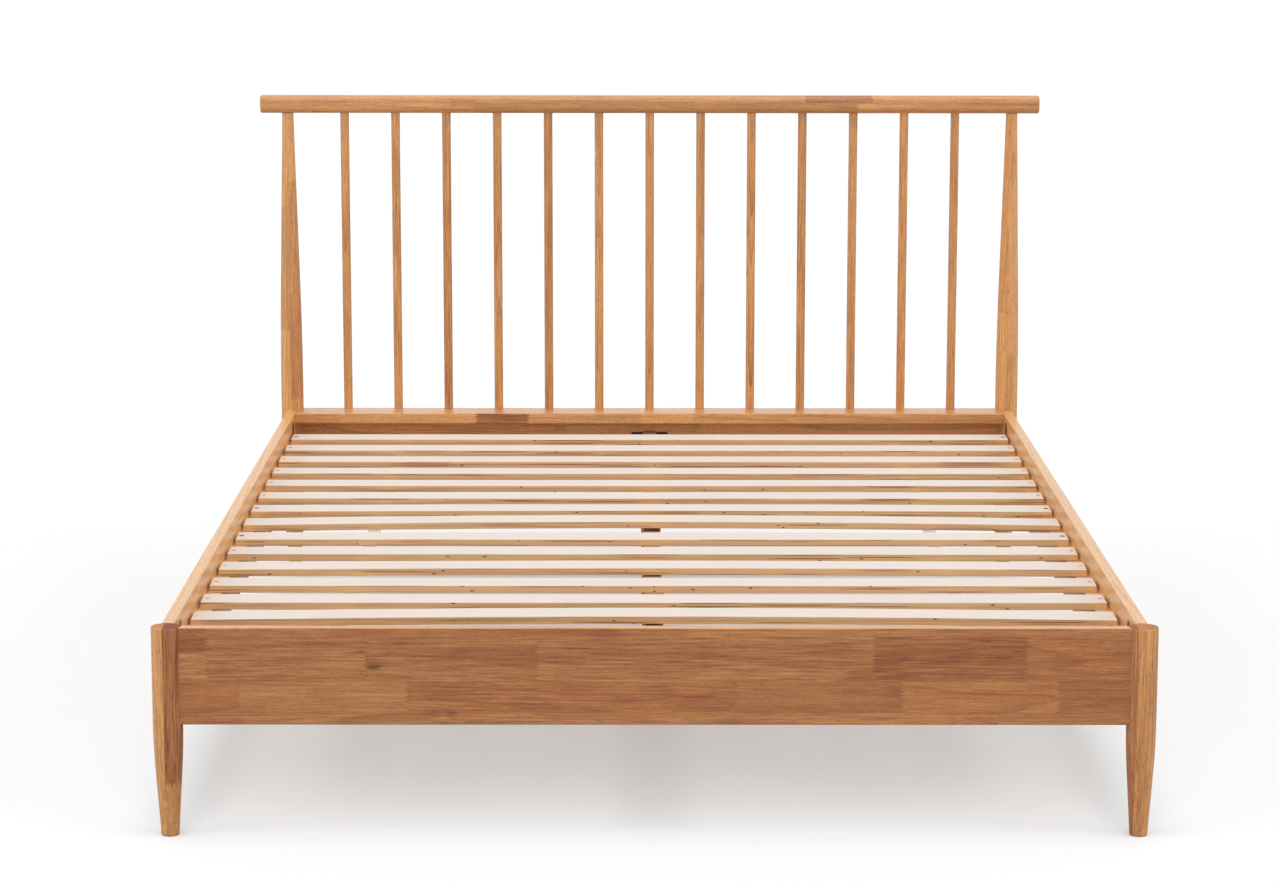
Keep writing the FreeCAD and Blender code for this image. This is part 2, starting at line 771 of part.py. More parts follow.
# ---- Levelling glides -----------------------------------------------------------------------
def glide_insert(y):
    """The threaded sleeve in a centre leg's foot, with a flange against the wood."""
    flange_bottom = centre_leg_bottom - insert_flange_thickness
    bore = glide_stud_diameter / 2 + thread_gap
    flange = Part.makeCylinder(insert_flange_diameter / 2, insert_flange_thickness, Vector(0, y, flange_bottom))
    sleeve = Part.makeCylinder(insert_diameter / 2, insert_length, Vector(0, y, centre_leg_bottom))
    reach = insert_length + insert_flange_thickness
    return flange.fuse(sleeve).cut(Part.makeCylinder(bore, reach, Vector(0, y, flange_bottom)))


def glide_stud(y):
    """The stud of a glide: a spigot in the pad, a collar for the spanner and a threaded shank."""
    spigot_bottom = glide_pad_height - glide_spigot_length
    top = centre_leg_bottom + glide_stud_grip
    collar = hexagon(glide_collar_flats, glide_collar_height, 0)
    collar.translate(Vector(0, y, glide_pad_height))
    spigot = Part.makeCylinder(glide_spigot_diameter / 2, glide_spigot_length, Vector(0, y, spigot_bottom))
    shank = chamfered_rod(glide_stud_diameter, top - glide_collar_top, bolt_chamfer)
    shank.translate(Vector(0, y, glide_collar_top))
    neck = Part.makeCylinder(glide_stud_diameter / 2, bolt_chamfer, Vector(0, y, glide_collar_top))
    return collar.fuse([spigot, shank, neck]).removeSplitter()


def glide_pad(y):
    """The round pad that stands on the floor."""
    pad = Part.makeCylinder(glide_pad_diameter / 2, glide_pad_height, Vector(0, y, 0))
    rims = [edge for edge in pad.Edges if edge.Length > glide_pad_diameter]
    pad = pad.makeChamfer(glide_pad_ease, rims)
    socket_bottom = glide_pad_height - glide_spigot_length - joint_gap
    radius = glide_spigot_diameter / 2 + joint_gap
    return pad.cut(Part.makeCylinder(radius, glide_pad_height, Vector(0, y, socket_bottom)))


# ---- Groups of fasteners --------------------------------------------------------------------
def hanger_bolts():
    bolts = [corner_bolt(side, end, z) for _, side in SIDES for _, end in ENDS for z in bolt_heights]
    return bolts + [centre_leg_bolt(y) for _, y in centre_leg_places]


def bolt_washer(side, end, z):
    """A plate washer on the pocket's wall."""
    near, far = sorted((end * pocket_wall_y, end * (pocket_wall_y - washer_thickness)))
    x = side * leg_axis_x
    half = washer_width / 2
    plate = block(x - half, x + half, near, far, z - washer_height / 2, z + washer_height / 2)
    radius = bolt_diameter / 2 + washer_slack
    return plate.cut(Part.makeCylinder(radius, washer_thickness, Vector(x, near, z), BACK))


def bolt_nut(side, end, z):
    """A nut against its washer, with its flats square to the rail's face."""
    nut = hexagon(nut_flats, nut_height, bolt_diameter / 2 + thread_gap)
    place = Vector(side * leg_axis_x, end * (pocket_wall_y - washer_thickness), z)
    return pointed(nut, place, BACK * -end)


def slat_screws():
    screw = countersunk_screw(slat_screw_length, slat_screw_diameter, slat_screw_head)
    places = [slat_screw_place(side, number) for number in screwed_slats for _, side in SIDES]
    return [pointed(screw, place, DOWN) for place in places]


def bracket_screws():
    screw = pan_screw(bracket_screw_length, bracket_screw_diameter, bracket_screw_head, bracket_screw_head_height)
    return [pointed(screw, place, BACK * end) for _, end in ENDS for place in bracket_screw_places(end)]


def save_all():
    """Write every node of the bed."""
    os.makedirs("parts", exist_ok=True)
    for name, side in SIDES:
        save("front_leg_" + name, front_leg(side))
        save("rear_post_" + name, rear_post(side))
        save("side_rail_" + name, side_rail(side))
        save("slat_ledger_" + name, slat_ledger(side))
        save("slat_webbing_" + name, slat_webbing(side))
    save("footboard_panel", footboard())
    save("head_board", head_board())
    save("head_ledge_rail", head_ledge())
    save("crest_rail", crest_rail())
    for index, x in enumerate(spindle_places(), start=1):
        save("spindle_%02d" % index, spindle(x))
    numbers = range(1, slat_count + 1)
    for number in numbers:
        save("slat_%02d" % number, slat(number))
    save("centre_beam", centre_beam())
    for name, end in ENDS:
        save("beam_bracket_" + name, beam_bracket(end))
    for name, y in centre_leg_places:
        save("centre_leg_" + name, centre_leg(y))
        save("glide_stud_" + name, glide_stud(y))
        save("glide_pad_" + name, glide_pad(y))
    save("glide_inserts", [glide_insert(y) for _, y in centre_leg_places])
    corners = [(side, end) for _, side in SIDES for _, end in ENDS]
    save("hanger_bolts", hanger_bolts())
    save("bolt_washers", [bolt_washer(side, end, z) for side, end in corners for z in bolt_heights])
    save("bolt_nuts", [bolt_nut(side, end, z) for side, end in corners for z in bolt_heights])
    save("locating_dowels", [corner_dowel(side, end) for side, end in corners] + ledge_dowels())
    save("slat_screws", slat_screws())
    stapled = [(number, side) for number in numbers if number not in screwed_slats for _, side in SIDES]
    save("slat_staples", [slat_staple_holes(number, side) for number, side in stapled])
    save("webbing_staples", [webbing_staple(number, side) for number in numbers for _, side in SIDES])
    save("ledger_screws", [ledger_screw(side, y) for _, side in SIDES for y in ledger_screw_rows()])
    save("bracket_screws", bracket_screws())


save_all()
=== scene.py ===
# %% [markdown]
# # Dressing a spindle bed
#
# The bed is a frame of pale, oiled hardwood: turned legs, plank rails, a headboard of thirteen
# round spindles under a rounded crest rail, and fourteen softwood slats. The shapes come from
# the frame. What this lesson adds is the finish of every surface, and the few pieces whose real
# form is finer than a plain solid: woven straps, bent wire staples and threaded steel.

# %% Open the frame
import bmesh
import bpy
import math

from mathutils import Matrix, Vector


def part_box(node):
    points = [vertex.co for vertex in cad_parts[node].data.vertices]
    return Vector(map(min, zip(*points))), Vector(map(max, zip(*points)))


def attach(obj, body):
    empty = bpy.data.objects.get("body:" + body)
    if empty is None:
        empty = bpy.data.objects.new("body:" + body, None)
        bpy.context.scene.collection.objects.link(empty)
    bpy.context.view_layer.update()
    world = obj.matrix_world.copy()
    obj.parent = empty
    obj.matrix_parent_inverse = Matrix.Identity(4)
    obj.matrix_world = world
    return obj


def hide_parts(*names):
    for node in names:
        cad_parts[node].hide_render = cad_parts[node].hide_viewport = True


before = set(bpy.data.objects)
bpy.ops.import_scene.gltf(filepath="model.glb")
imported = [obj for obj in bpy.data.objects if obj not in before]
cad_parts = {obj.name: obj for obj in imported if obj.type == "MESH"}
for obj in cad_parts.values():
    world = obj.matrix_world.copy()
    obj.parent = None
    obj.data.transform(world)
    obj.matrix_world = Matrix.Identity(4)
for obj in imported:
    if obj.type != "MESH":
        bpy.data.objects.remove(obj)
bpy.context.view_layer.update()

# %% [markdown]
# ## Where the picture was taken from
#
# The photograph looks at the foot of the bed from about five and a half metres, from standing
# height, with a long lens. A camera can be placed by eye, but a product picture is mostly
# straight edges, so a few degrees show at once. Here the place, the three small angles and the
# focal length are written as they were solved from the edges of the bed itself.

# %% Camera
camera_place = Vector((-0.03303, -6.53065, 1.61618))
camera_pitch = 0.175010
camera_yaw = -0.0014871
camera_roll = 0.00085674
focal_in_pixels = 3495.01
picture_width = 1279
film_width = 36.0

forward = Vector((
    -math.sin(camera_yaw) * math.cos(camera_pitch),
    math.cos(camera_yaw) * math.cos(camera_pitch),
    -math.sin(camera_pitch),
))
level_right = Vector((math.cos(camera_yaw), math.sin(camera_yaw), 0))
level_up = level_right.cross(forward)
right = math.cos(camera_roll) * level_right + math.sin(camera_roll) * level_up
up = math.cos(camera_roll) * level_up - math.sin(camera_roll) * level_right

lens = bpy.data.cameras.new("camera")
lens.sensor_width = film_width
lens.lens = focal_in_pixels * film_width / picture_width
camera = bpy.data.objects.new("camera", lens)
camera.matrix_world = Matrix.Translation(camera_place) @ Matrix((right, up, -forward)).transposed().to_4x4()
bpy.context.scene.collection.objects.link(camera)
bpy.context.scene.camera = camera
print("lens in millimetres:", round(lens.lens, 2))

# %% [markdown]
# ## Building blocks for finishes
#
# Every finish below is a small network of shader nodes. Written out link by link that gets hard
# to read, so these helpers add one node each and give back its output socket. A value that is a
# socket is linked, and any other value is simply typed into the input.

# %% Helpers for shader nodes
def plug(tree, value, socket):
    """Link a socket to an input, or type a plain value into it."""
    if isinstance(value, bpy.types.NodeSocket):
        tree.links.new(value, socket)
    else:
        socket.default_value = value


def place_node(tree, kind, inputs=None, **settings):
    """Add one node with its settings and named inputs."""
    made = tree.nodes.new("ShaderNode" + kind)
    for name, value in settings.items():
        setattr(made, name, value)
    for name, value in (inputs or {}).items():
        plug(tree, value, made.inputs[name])
    return made


def calc(tree, operation, *values):
    """One step of arithmetic on plain numbers."""
    made = place_node(tree, "Math", operation=operation)
    for value, socket in zip(values, made.inputs):
        plug(tree, value, socket)
    return made.outputs[0]


def vector_calc(tree, operation, *values):
    """One step of arithmetic on positions or directions."""
    made = place_node(tree, "VectorMath", operation=operation)
    for value, socket in zip(values, made.inputs):
        plug(tree, value, socket)
    return made.outputs[0]


def vector_calc_value(tree, operation, *values):
    """A step of vector arithmetic whose answer is one number."""
    return vector_calc(tree, operation, *values).node.outputs["Value"]


def fade(tree, value, start, end, to_low=0.0, to_high=1.0):
    """A smooth step from one level to another as a value goes from start to end."""
    made = place_node(tree, "MapRange", interpolation_type="SMOOTHSTEP")
    for name, given in (("Value", value), ("From Min", start), ("From Max", end)):
        plug(tree, given, made.inputs[name])
    plug(tree, to_low, made.inputs["To Min"])
    plug(tree, to_high, made.inputs["To Max"])
    return made.outputs["Result"]


def blend_colour(tree, factor, first, second, mode="MIX"):
    """One colour over another."""
    made = place_node(tree, "Mix", data_type="RGBA", blend_type=mode)
    plug(tree, factor, made.inputs[0])
    plug(tree, first, made.inputs[6])
    plug(tree, second, made.inputs[7])
    return made.outputs[2]


def split(tree, vector):
    """The three parts of a position, direction or colour."""
    return place_node(tree, "SeparateXYZ", {"Vector": vector}).outputs


def join(tree, x, y, z):
    """A position from three numbers."""
    return place_node(tree, "CombineXYZ", {"X": x, "Y": y, "Z": z}).outputs[0]


def cloudy(tree, vector, scale, detail=2.0, roughness=0.5):
    """Soft random variation from 0 to 1."""
    inputs = {"Vector": vector, "Scale": scale, "Detail": detail, "Roughness": roughness}
    return place_node(tree, "TexNoise", inputs).outputs["Fac"]


def by_chance(tree, number):
    """Random outputs that are always the same for the same number."""
    return place_node(tree, "TexWhiteNoise", {"W": number}, noise_dimensions="1D").outputs


def srgb(red, green, blue):
    """A colour as a paint chart gives it, 0 to 255, in the linear values that light adds up in."""
    def linear(part):
        share = part / 255
        if share <= 0.04045:
            return share / 12.92
        return ((share + 0.055) / 1.055) ** 2.4
    return (linear(red), linear(green), linear(blue), 1.0)


# %% Helpers for node groups
def start_group(name, inputs, outputs):
    """A new node group, with its named sockets. Gives its tree, its inputs and its output node."""
    tree = bpy.data.node_groups.new(name, "ShaderNodeTree")
    for label, kind, value in inputs:
        socket = tree.interface.new_socket(label, in_out="INPUT", socket_type="NodeSocket" + kind)
        if kind != "Vector":
            socket.default_value = value
    for label, kind in outputs:
        tree.interface.new_socket(label, in_out="OUTPUT", socket_type="NodeSocket" + kind)
    given = tree.nodes.new("NodeGroupInput").outputs
    ends = tree.nodes.new("NodeGroupOutput").inputs
    return tree, given, ends


def use_group(tree, group, **inputs):
    """Place a node group in a material or in another group. Input names have _ for a space."""
    made = tree.nodes.new("ShaderNodeGroup")
    made.node_tree = group
    for name, value in inputs.items():
        plug(tree, value, made.inputs[name.replace("_", " ")])
    return made.outputs


# %% [markdown]
# ## How the planks are glued up
#
# Boards like these are made of short, narrow staves. Staves are glued end to end with small
# interlocking fingers, and the long strips are then glued edge to edge. The eye reads it as a
# brick pattern in which each brick has its own tone and its own grain. A brick texture would
# give equal bricks, so this group works the pattern out instead. It is told which strip a point
# lies in and how far from the strip's edge, cuts the strip into staves of uneven length, and
# gives a zigzag where two staves meet. It hands on a random colour for each stave and the thin
# glue lines.

# %% Group: staves
finger_pitch = 0.0062
unevenness = 0.28


def finger_teeth(tree, across):
    """A zigzag from -1/4 to 1/4 across a board: the outline of the finger joints."""
    teeth = calc(tree, "PINGPONG", calc(tree, "DIVIDE", across, finger_pitch), 0.5)
    return calc(tree, "SUBTRACT", teeth, 0.25)


def make_stave_group():
    tree, given, ends = start_group(
        "Staves",
        [("Vector", "Vector", None), ("Row", "Float", 0.0), ("Row Edge", "Float", 0.1),
         ("Length", "Float", 0.4), ("Finger", "Float", 0.008), ("Seed", "Float", 0.0)],
        [("Stave", "Vector"), ("Glue", "Float")],
    )
    along, across, _ = split(tree, given["Vector"])[:3]
    length = given["Length"]
    row_place = join(tree, given["Row"], given["Seed"], 0.5)
    row_chance = place_node(tree, "TexWhiteNoise", {"Vector": row_place}).outputs["Value"]
    run = calc(tree, "MULTIPLY_ADD", row_chance, 13.7, calc(tree, "DIVIDE", along, length))
    turn = calc(tree, "MULTIPLY_ADD", row_chance, 6.0, calc(tree, "MULTIPLY", run, 1.9))
    run = calc(tree, "MULTIPLY_ADD", calc(tree, "SINE", turn), unevenness, run)
    finger = calc(tree, "DIVIDE", calc(tree, "MULTIPLY", given["Finger"], 2.0), length)
    run = calc(tree, "MULTIPLY_ADD", finger_teeth(tree, across), finger, run)
    stave_place = join(tree, calc(tree, "FLOOR", run), given["Row"], given["Seed"])
    stave = place_node(tree, "TexWhiteNoise", {"Vector": stave_place}).outputs["Color"]
    from_middle = calc(tree, "ABSOLUTE", calc(tree, "SUBTRACT", calc(tree, "FRACT", run), 0.5))
    from_end = calc(tree, "MULTIPLY", calc(tree, "SUBTRACT", 0.5, from_middle), length)
    end_line = fade(tree, from_end, 0.0002, 0.0008, 1.0, 0.0)
    edge_line = fade(tree, given["Row Edge"], 0.0001, 0.0005, 0.6, 0.0)
    plug(tree, stave, ends["Stave"])
    plug(tree, calc(tree, "MAXIMUM", edge_line, end_line), ends["Glue"])
    return tree


stave_group = make_stave_group()
print("made the node group", stave_group.name)

# %% [markdown]
# ## Grain that runs through the wood
#
# Grain isn't printed on a board: it is where the surface cuts the tree's rings. So this group
# places the heart of the tree beside each stave, measures the distance from it, and turns that
# distance into rings. A face cut near the heart shows long pointed arches, a face cut towards it
# shows straight stripes, and an end shows arcs, all from one rule. Clouds, streaks and fibres are
# noise stretched along the stave, each finer than the last. They run from -1 to 1, so that they
# deepen some places and lift others. Pores are short dark dashes.

# %% Group: grain
def make_grain_group():
    tree, given, ends = start_group(
        "Grain",
        [("Vector", "Vector", None), ("Stave", "Vector", None), ("Ring Gap", "Float", 0.006),
         ("Lean", "Float", 0.03), ("Waver", "Float", 0.004)],
        [("Rings", "Float"), ("Clouds", "Float"), ("Streaks", "Float"), ("Fibres", "Float"),
         ("Pores", "Float")],
    )
    along, across, deep = split(tree, given["Vector"])[:3]
    chance = split(tree, given["Stave"])
    shift = vector_calc(tree, "SCALE", given["Stave"])
    shift.node.inputs["Scale"].default_value = 37.0

    def stretched(stretch, detail):
        squeezed = vector_calc(tree, "MULTIPLY", given["Vector"], stretch)
        return cloudy(tree, vector_calc(tree, "ADD", squeezed, shift), 1.0, detail, 0.6)

    sideways = calc(tree, "MULTIPLY_ADD", chance[0], 0.08, -0.04)
    behind = calc(tree, "MULTIPLY_ADD", chance[1], 0.09, 0.02)
    from_side = calc(tree, "ADD", calc(tree, "WRAP", across, 0.05, -0.05), sideways)
    from_deep = calc(tree, "ADD", calc(tree, "WRAP", deep, 0.05, -0.05), behind)
    squares = calc(tree, "ADD", calc(tree, "POWER", from_side, 2.0), calc(tree, "POWER", from_deep, 2.0))
    lean = calc(tree, "MULTIPLY", calc(tree, "SUBTRACT", chance[2], 0.5), given["Lean"])
    distance = calc(tree, "MULTIPLY_ADD", along, lean, calc(tree, "SQRT", squares))
    distance = calc(tree, "MULTIPLY_ADD", stretched((3.0, 16.0, 16.0), 2.0), given["Waver"], distance)
    ring_run = calc(tree, "DIVIDE", distance, given["Ring Gap"])
    ring_part = calc(tree, "FRACT", ring_run)
    ring_chance = by_chance(tree, calc(tree, "FLOOR", ring_run))["Value"]
    fall = fade(tree, ring_part, 0.9, 1.0, 1.0, 0.0)
    late_wood = calc(tree, "MULTIPLY", calc(tree, "POWER", ring_part, 2.5), fall)
    rings = calc(tree, "MULTIPLY", late_wood, calc(tree, "MULTIPLY_ADD", ring_chance, 0.8, 0.2))

    def signed(value, gain):
        return calc(tree, "MULTIPLY", calc(tree, "SUBTRACT", value, 0.5), gain)

    plug(tree, rings, ends["Rings"])
    plug(tree, signed(stretched((4.0, 40.0, 40.0), 3.0), 2.0), ends["Clouds"])
    plug(tree, signed(stretched((10.0, 300.0, 300.0), 3.0), 2.0), ends["Streaks"])
    plug(tree, signed(stretched((26.0, 700.0, 700.0), 2.0), 2.0), ends["Fibres"])
    plug(tree, fade(tree, stretched((90.0, 1100.0, 1100.0), 1.0), 0.56, 0.68), ends["Pores"])
    return tree


grain_group = make_grain_group()
print("made the node group", grain_group.name)

# %% [markdown]
# ## Wear along the edges
#
# Edges are where sandpaper, hands and bedding rub, so they end up a little paler and smoother
# than the faces. The bevel node gives the normal that the surface would have if its edges were
# rounded: where it turns away from the real normal, an edge is near.

# %% Group: edge wear
def make_edge_group():
    tree, given, ends = start_group(
        "Edge wear",
        [("Vector", "Vector", None), ("Reach", "Float", 0.002), ("Patchiness", "Float", 60.0)],
        [("Wear", "Float")],
    )
    rounded = place_node(tree, "Bevel", {"Radius": given["Reach"]}, samples=4).outputs["Normal"]
    sharp = place_node(tree, "NewGeometry").outputs["Normal"]
    turn = calc(tree, "SUBTRACT", 1.0, vector_calc_value(tree, "DOT_PRODUCT", rounded, sharp))
    edge = fade(tree, turn, 0.01, 0.22)
    patches = cloudy(tree, given["Vector"], given["Patchiness"], 3.0)
    plug(tree, calc(tree, "MULTIPLY", edge, fade(tree, patches, 0.35, 0.65, 0.35, 1.0)), ends["Wear"])
    return tree


edge_group = make_edge_group()
print("made the node group", edge_group.name)

# %% [markdown]
# ## Knots and mineral streaks
#
# Softwood slats show small dark knots, and short brown streaks that run a few centimetres with
# the grain. Both are rare. A cell pattern gives each patch of wood one point and one random
# number, and only the few patches with a high number get a knot.

# %% Group: flecks
def make_fleck_group():
    tree, given, ends = start_group(
        "Flecks",
        [("Vector", "Vector", None), ("Along", "Float", 8.0), ("Across", "Float", 60.0),
         ("Share", "Float", 0.1), ("Size", "Float", 0.3), ("Seed", "Float", 0.0)],
        [("Mask", "Float")],
    )
    along, across, deep = split(tree, given["Vector"])[:3]
    cell_place = join(
        tree,
        calc(tree, "MULTIPLY_ADD", along, given["Along"], calc(tree, "MULTIPLY", given["Seed"], 5.1)),
        calc(tree, "MULTIPLY_ADD", across, given["Across"], given["Seed"]),
        calc(tree, "MULTIPLY", deep, given["Across"]),
    )
    ragged = cloudy(tree, cell_place, 3.0, 2.0)
    cells = place_node(tree, "TexVoronoi", {"Vector": cell_place, "Scale": 1.0})
    chance = split(tree, cells.outputs["Color"])[0]
    chosen = calc(tree, "GREATER_THAN", chance, calc(tree, "SUBTRACT", 1.0, given["Share"]))
    spread = calc(tree, "ADD", cells.outputs["Distance"], calc(tree, "MULTIPLY_ADD", ragged, 0.3, -0.15))
    spot = fade(tree, spread, calc(tree, "MULTIPLY", given["Size"], 0.75), given["Size"], 1.0, 0.0)
    plug(tree, calc(tree, "MULTIPLY", chosen, spot), ends["Mask"])
    return tree


fleck_group = make_fleck_group()
print("made the node group", fleck_group.name)

# %% [markdown]
# ## A stave that is listed
#
# Chance lays out most of the staves, but on the real bed some stand out, such as the dark ones in
# the footboard and in the ledge. This group marks one such stave: a box along and across the
# board, with the same fingers at its ends and its own glue line.

# %% Group: chosen stave
def make_chosen_group():
    tree, given, ends = start_group(
        "Chosen stave",
        [("Vector", "Vector", None), ("Start", "Float", 0.0), ("End", "Float", 0.1),
         ("Low", "Float", 0.0), ("High", "Float", 0.1), ("Finger", "Float", 0.008)],
        [("Mask", "Float"), ("Glue", "Float")],
    )
    along, across, _ = split(tree, given["Vector"])[:3]
    reach = calc(tree, "MULTIPLY", given["Finger"], 2.0)
    along = calc(tree, "MULTIPLY_ADD", finger_teeth(tree, across), reach, along)

    def depth_inside(value, low, high):
        past_low = calc(tree, "SUBTRACT", value, low)
        short_of_high = calc(tree, "SUBTRACT", high, value)
        return calc(tree, "MINIMUM", past_low, short_of_high)

    from_end = depth_inside(along, given["Start"], given["End"])
    from_side = depth_inside(across, given["Low"], given["High"])
    nearest = calc(tree, "MINIMUM", from_end, from_side)
    inside = calc(tree, "GREATER_THAN", nearest, 0.0)
    end_line = fade(tree, calc(tree, "ABSOLUTE", from_end), 0.0002, 0.0008, 1.0, 0.0)
    plug(tree, inside, ends["Mask"])
    plug(tree, calc(tree, "MULTIPLY", inside, end_line), ends["Glue"])
    return tree


chosen_group = make_chosen_group()
print("made the node group", chosen_group.name)

# %% [markdown]
# ## Starting a material
#
# Each material begins the same way: a Principled shader, and positions in which the first number
# runs along the grain. The frame's pieces all share one origin, so the object's own coordinates
# are already true places in metres, and the grain is as large on a leg as on a plank.

# %% Helpers for materials
grain_ways = {"x": (0, 2, 1), "y": (1, 2, 0), "z": (2, 0, 1)}


def start_material(name):
    """An empty material with a Principled shader."""
    material = bpy.data.materials.new(name)
    material.use_nodes = True
    tree = material.node_tree
    tree.nodes.clear()
    shader = place_node(tree, "BsdfPrincipled")
    output = place_node(tree, "OutputMaterial")
    tree.links.new(shader.outputs["BSDF"], output.inputs["Surface"])
    return material, tree, shader.inputs


def places_along(tree, way):
    """The object's coordinates, turned so that the first one runs along the grain."""
    parts = split(tree, place_node(tree, "TexCoord").outputs["Object"])
    return join(tree, *[parts[index] for index in grain_ways[way]])


def rough_up(tree, shader, height, depth, strength=1.0):
    """Give a material its fine relief. Depth is in metres."""
    bump = place_node(tree, "Bump", {"Height": height, "Distance": depth, "Strength": strength})
    plug(tree, bump.outputs["Normal"], shader["Normal"])


def dress(material, *nodes):
    """Put a material on pieces of the frame."""
    for name in nodes:
        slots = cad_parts[name].data.materials
        slots.clear()
        slots.append(material)


# %% [markdown]
# ## The oiled hardwood
#
# One function makes the hardwood for every piece, and each piece gives its own numbers: the way
# the grain runs, a seed so that no two pieces match, how its staves lie, and how dark it is. The
# colour starts from a pale and a deep tone of the same wood. Each stave picks its place between
# them, streaks and rings deepen it, and pores add fine dark dashes. Some staves are redder than
# others, and end grain drinks more oil, so it is darker and duller. Last comes the oil: a soft,
# even sheen that is a little duller in the pores, under a thin clear coat that lets the level
# faces mirror the room at a low angle.

# %% Tones of the hardwood
pale_tone = srgb(231, 169, 101)
deep_tone = srgb(126, 56, 8)
ring_tone = srgb(124, 58, 20)
pore_tone = srgb(90, 46, 20)
glue_tone = srgb(112, 62, 30)
knot_tone = srgb(86, 44, 18)
# Painted shade: the dark tone painted inside the rear bolt pockets, for the shadow that fills them.
pocket_painted_shade_tone = srgb(112, 68, 36)
red_cast = (1.06, 0.85, 0.70, 1.0)
print("the palest wood, as light adds up:", [round(part, 3) for part in pale_tone[:3]])


# %% Strips, knots and pockets
def even_rows(tree, across, width, seed):
    """Strips of uneven width: the strip's number, and the distance from its nearest edge."""
    run = calc(tree, "MULTIPLY_ADD", seed, 3.7, calc(tree, "DIVIDE", across, width))
    wave = calc(tree, "SINE", calc(tree, "MULTIPLY", run, 2.3))
    run = calc(tree, "MULTIPLY_ADD", wave, 0.22, run)
    from_middle = calc(tree, "ABSOLUTE", calc(tree, "SUBTRACT", calc(tree, "FRACT", run), 0.5))
    from_edge = calc(tree, "MULTIPLY", calc(tree, "SUBTRACT", 0.5, from_middle), width)
    return calc(tree, "FLOOR", run), from_edge


def seen_rows(tree, across, lines):
    """Strips whose glue lines lie at given places across the board."""
    row, edge = 0.0, 1.0
    for line in lines:
        row = calc(tree, "ADD", row, calc(tree, "GREATER_THAN", across, line))
        edge = calc(tree, "MINIMUM", edge, calc(tree, "ABSOLUTE", calc(tree, "SUBTRACT", across, line)))
    return row, edge


def knot_mask(tree, place, middle, reach, weight):
    """A ragged oval round one place, given with its reach along and across the board."""
    away = vector_calc(tree, "SUBTRACT", place, (middle[0], middle[1], 0.0))
    shares = vector_calc(tree, "MULTIPLY", away, (1 / reach[0], 1 / reach[1], 0.0))
    oval = vector_calc_value(tree, "LENGTH", shares)
    ragged = cloudy(tree, vector_calc(tree, "MULTIPLY", place, (90.0, 400.0, 400.0)), 1.0, 3.0)
    outline = calc(tree, "MULTIPLY_ADD", ragged, 1.2, calc(tree, "SUBTRACT", oval, 0.6))
    return fade(tree, outline, 0.2, 1.0, weight, 0.0)


def box_mask(tree, place, low, high):
    """1 inside a box and 0 outside it. Its corners are given along, across and deep."""
    middle = [(first + second) / 2 for first, second in zip(low, high)]
    half = [(second - first) / 2 for first, second in zip(low, high)]
    away = vector_calc(tree, "ABSOLUTE", vector_calc(tree, "SUBTRACT", place, middle))
    parts = split(tree, vector_calc(tree, "DIVIDE", away, half))
    furthest = calc(tree, "MAXIMUM", parts[0], calc(tree, "MAXIMUM", parts[1], parts[2]))
    return calc(tree, "LESS_THAN", furthest, 1.0)


def lay_staves(tree, place, seed, depth, spread, lines, width, length, chosen):
    """A board's staves, as their random colour, their tone and their glue lines."""
    across = split(tree, place)[1]
    row, row_edge = seen_rows(tree, across, lines) if lines else even_rows(tree, across, width, seed)
    laid = use_group(tree, stave_group, Vector=place, Row=row, Row_Edge=row_edge, Length=length, Seed=seed)
    stave, glue = laid["Stave"], laid["Glue"]
    tone = calc(tree, "MULTIPLY_ADD", calc(tree, "SUBTRACT", split(tree, stave)[1], 0.5), spread, depth)
    for index, (start, end, low, high, stave_tone) in enumerate(chosen):
        mark = use_group(tree, chosen_group, Vector=place, Start=start, End=end, Low=low, High=high)
        kept = calc(tree, "SUBTRACT", 1.0, mark["Mask"])
        tone = calc(tree, "MULTIPLY_ADD", mark["Mask"], stave_tone, calc(tree, "MULTIPLY", tone, kept))
        glue = calc(tree, "MULTIPLY_ADD", glue, kept, mark["Glue"])
        own_chance = by_chance(tree, seed + 0.37 * index)["Color"]
        stave = blend_colour(tree, mark["Mask"], stave, own_chance)
    return stave, tone, glue


# %% Hardwood
tone_share = 0.8
cloud_weight = 0.28
fibre_weight = 0.36
end_grain_tone = 0.25
pore_weight = 0.42
red_weight = 0.3
glue_weight = 0.4
worn_weight = 0.25
oil_roughness = 0.42
coat_weight = 0.6


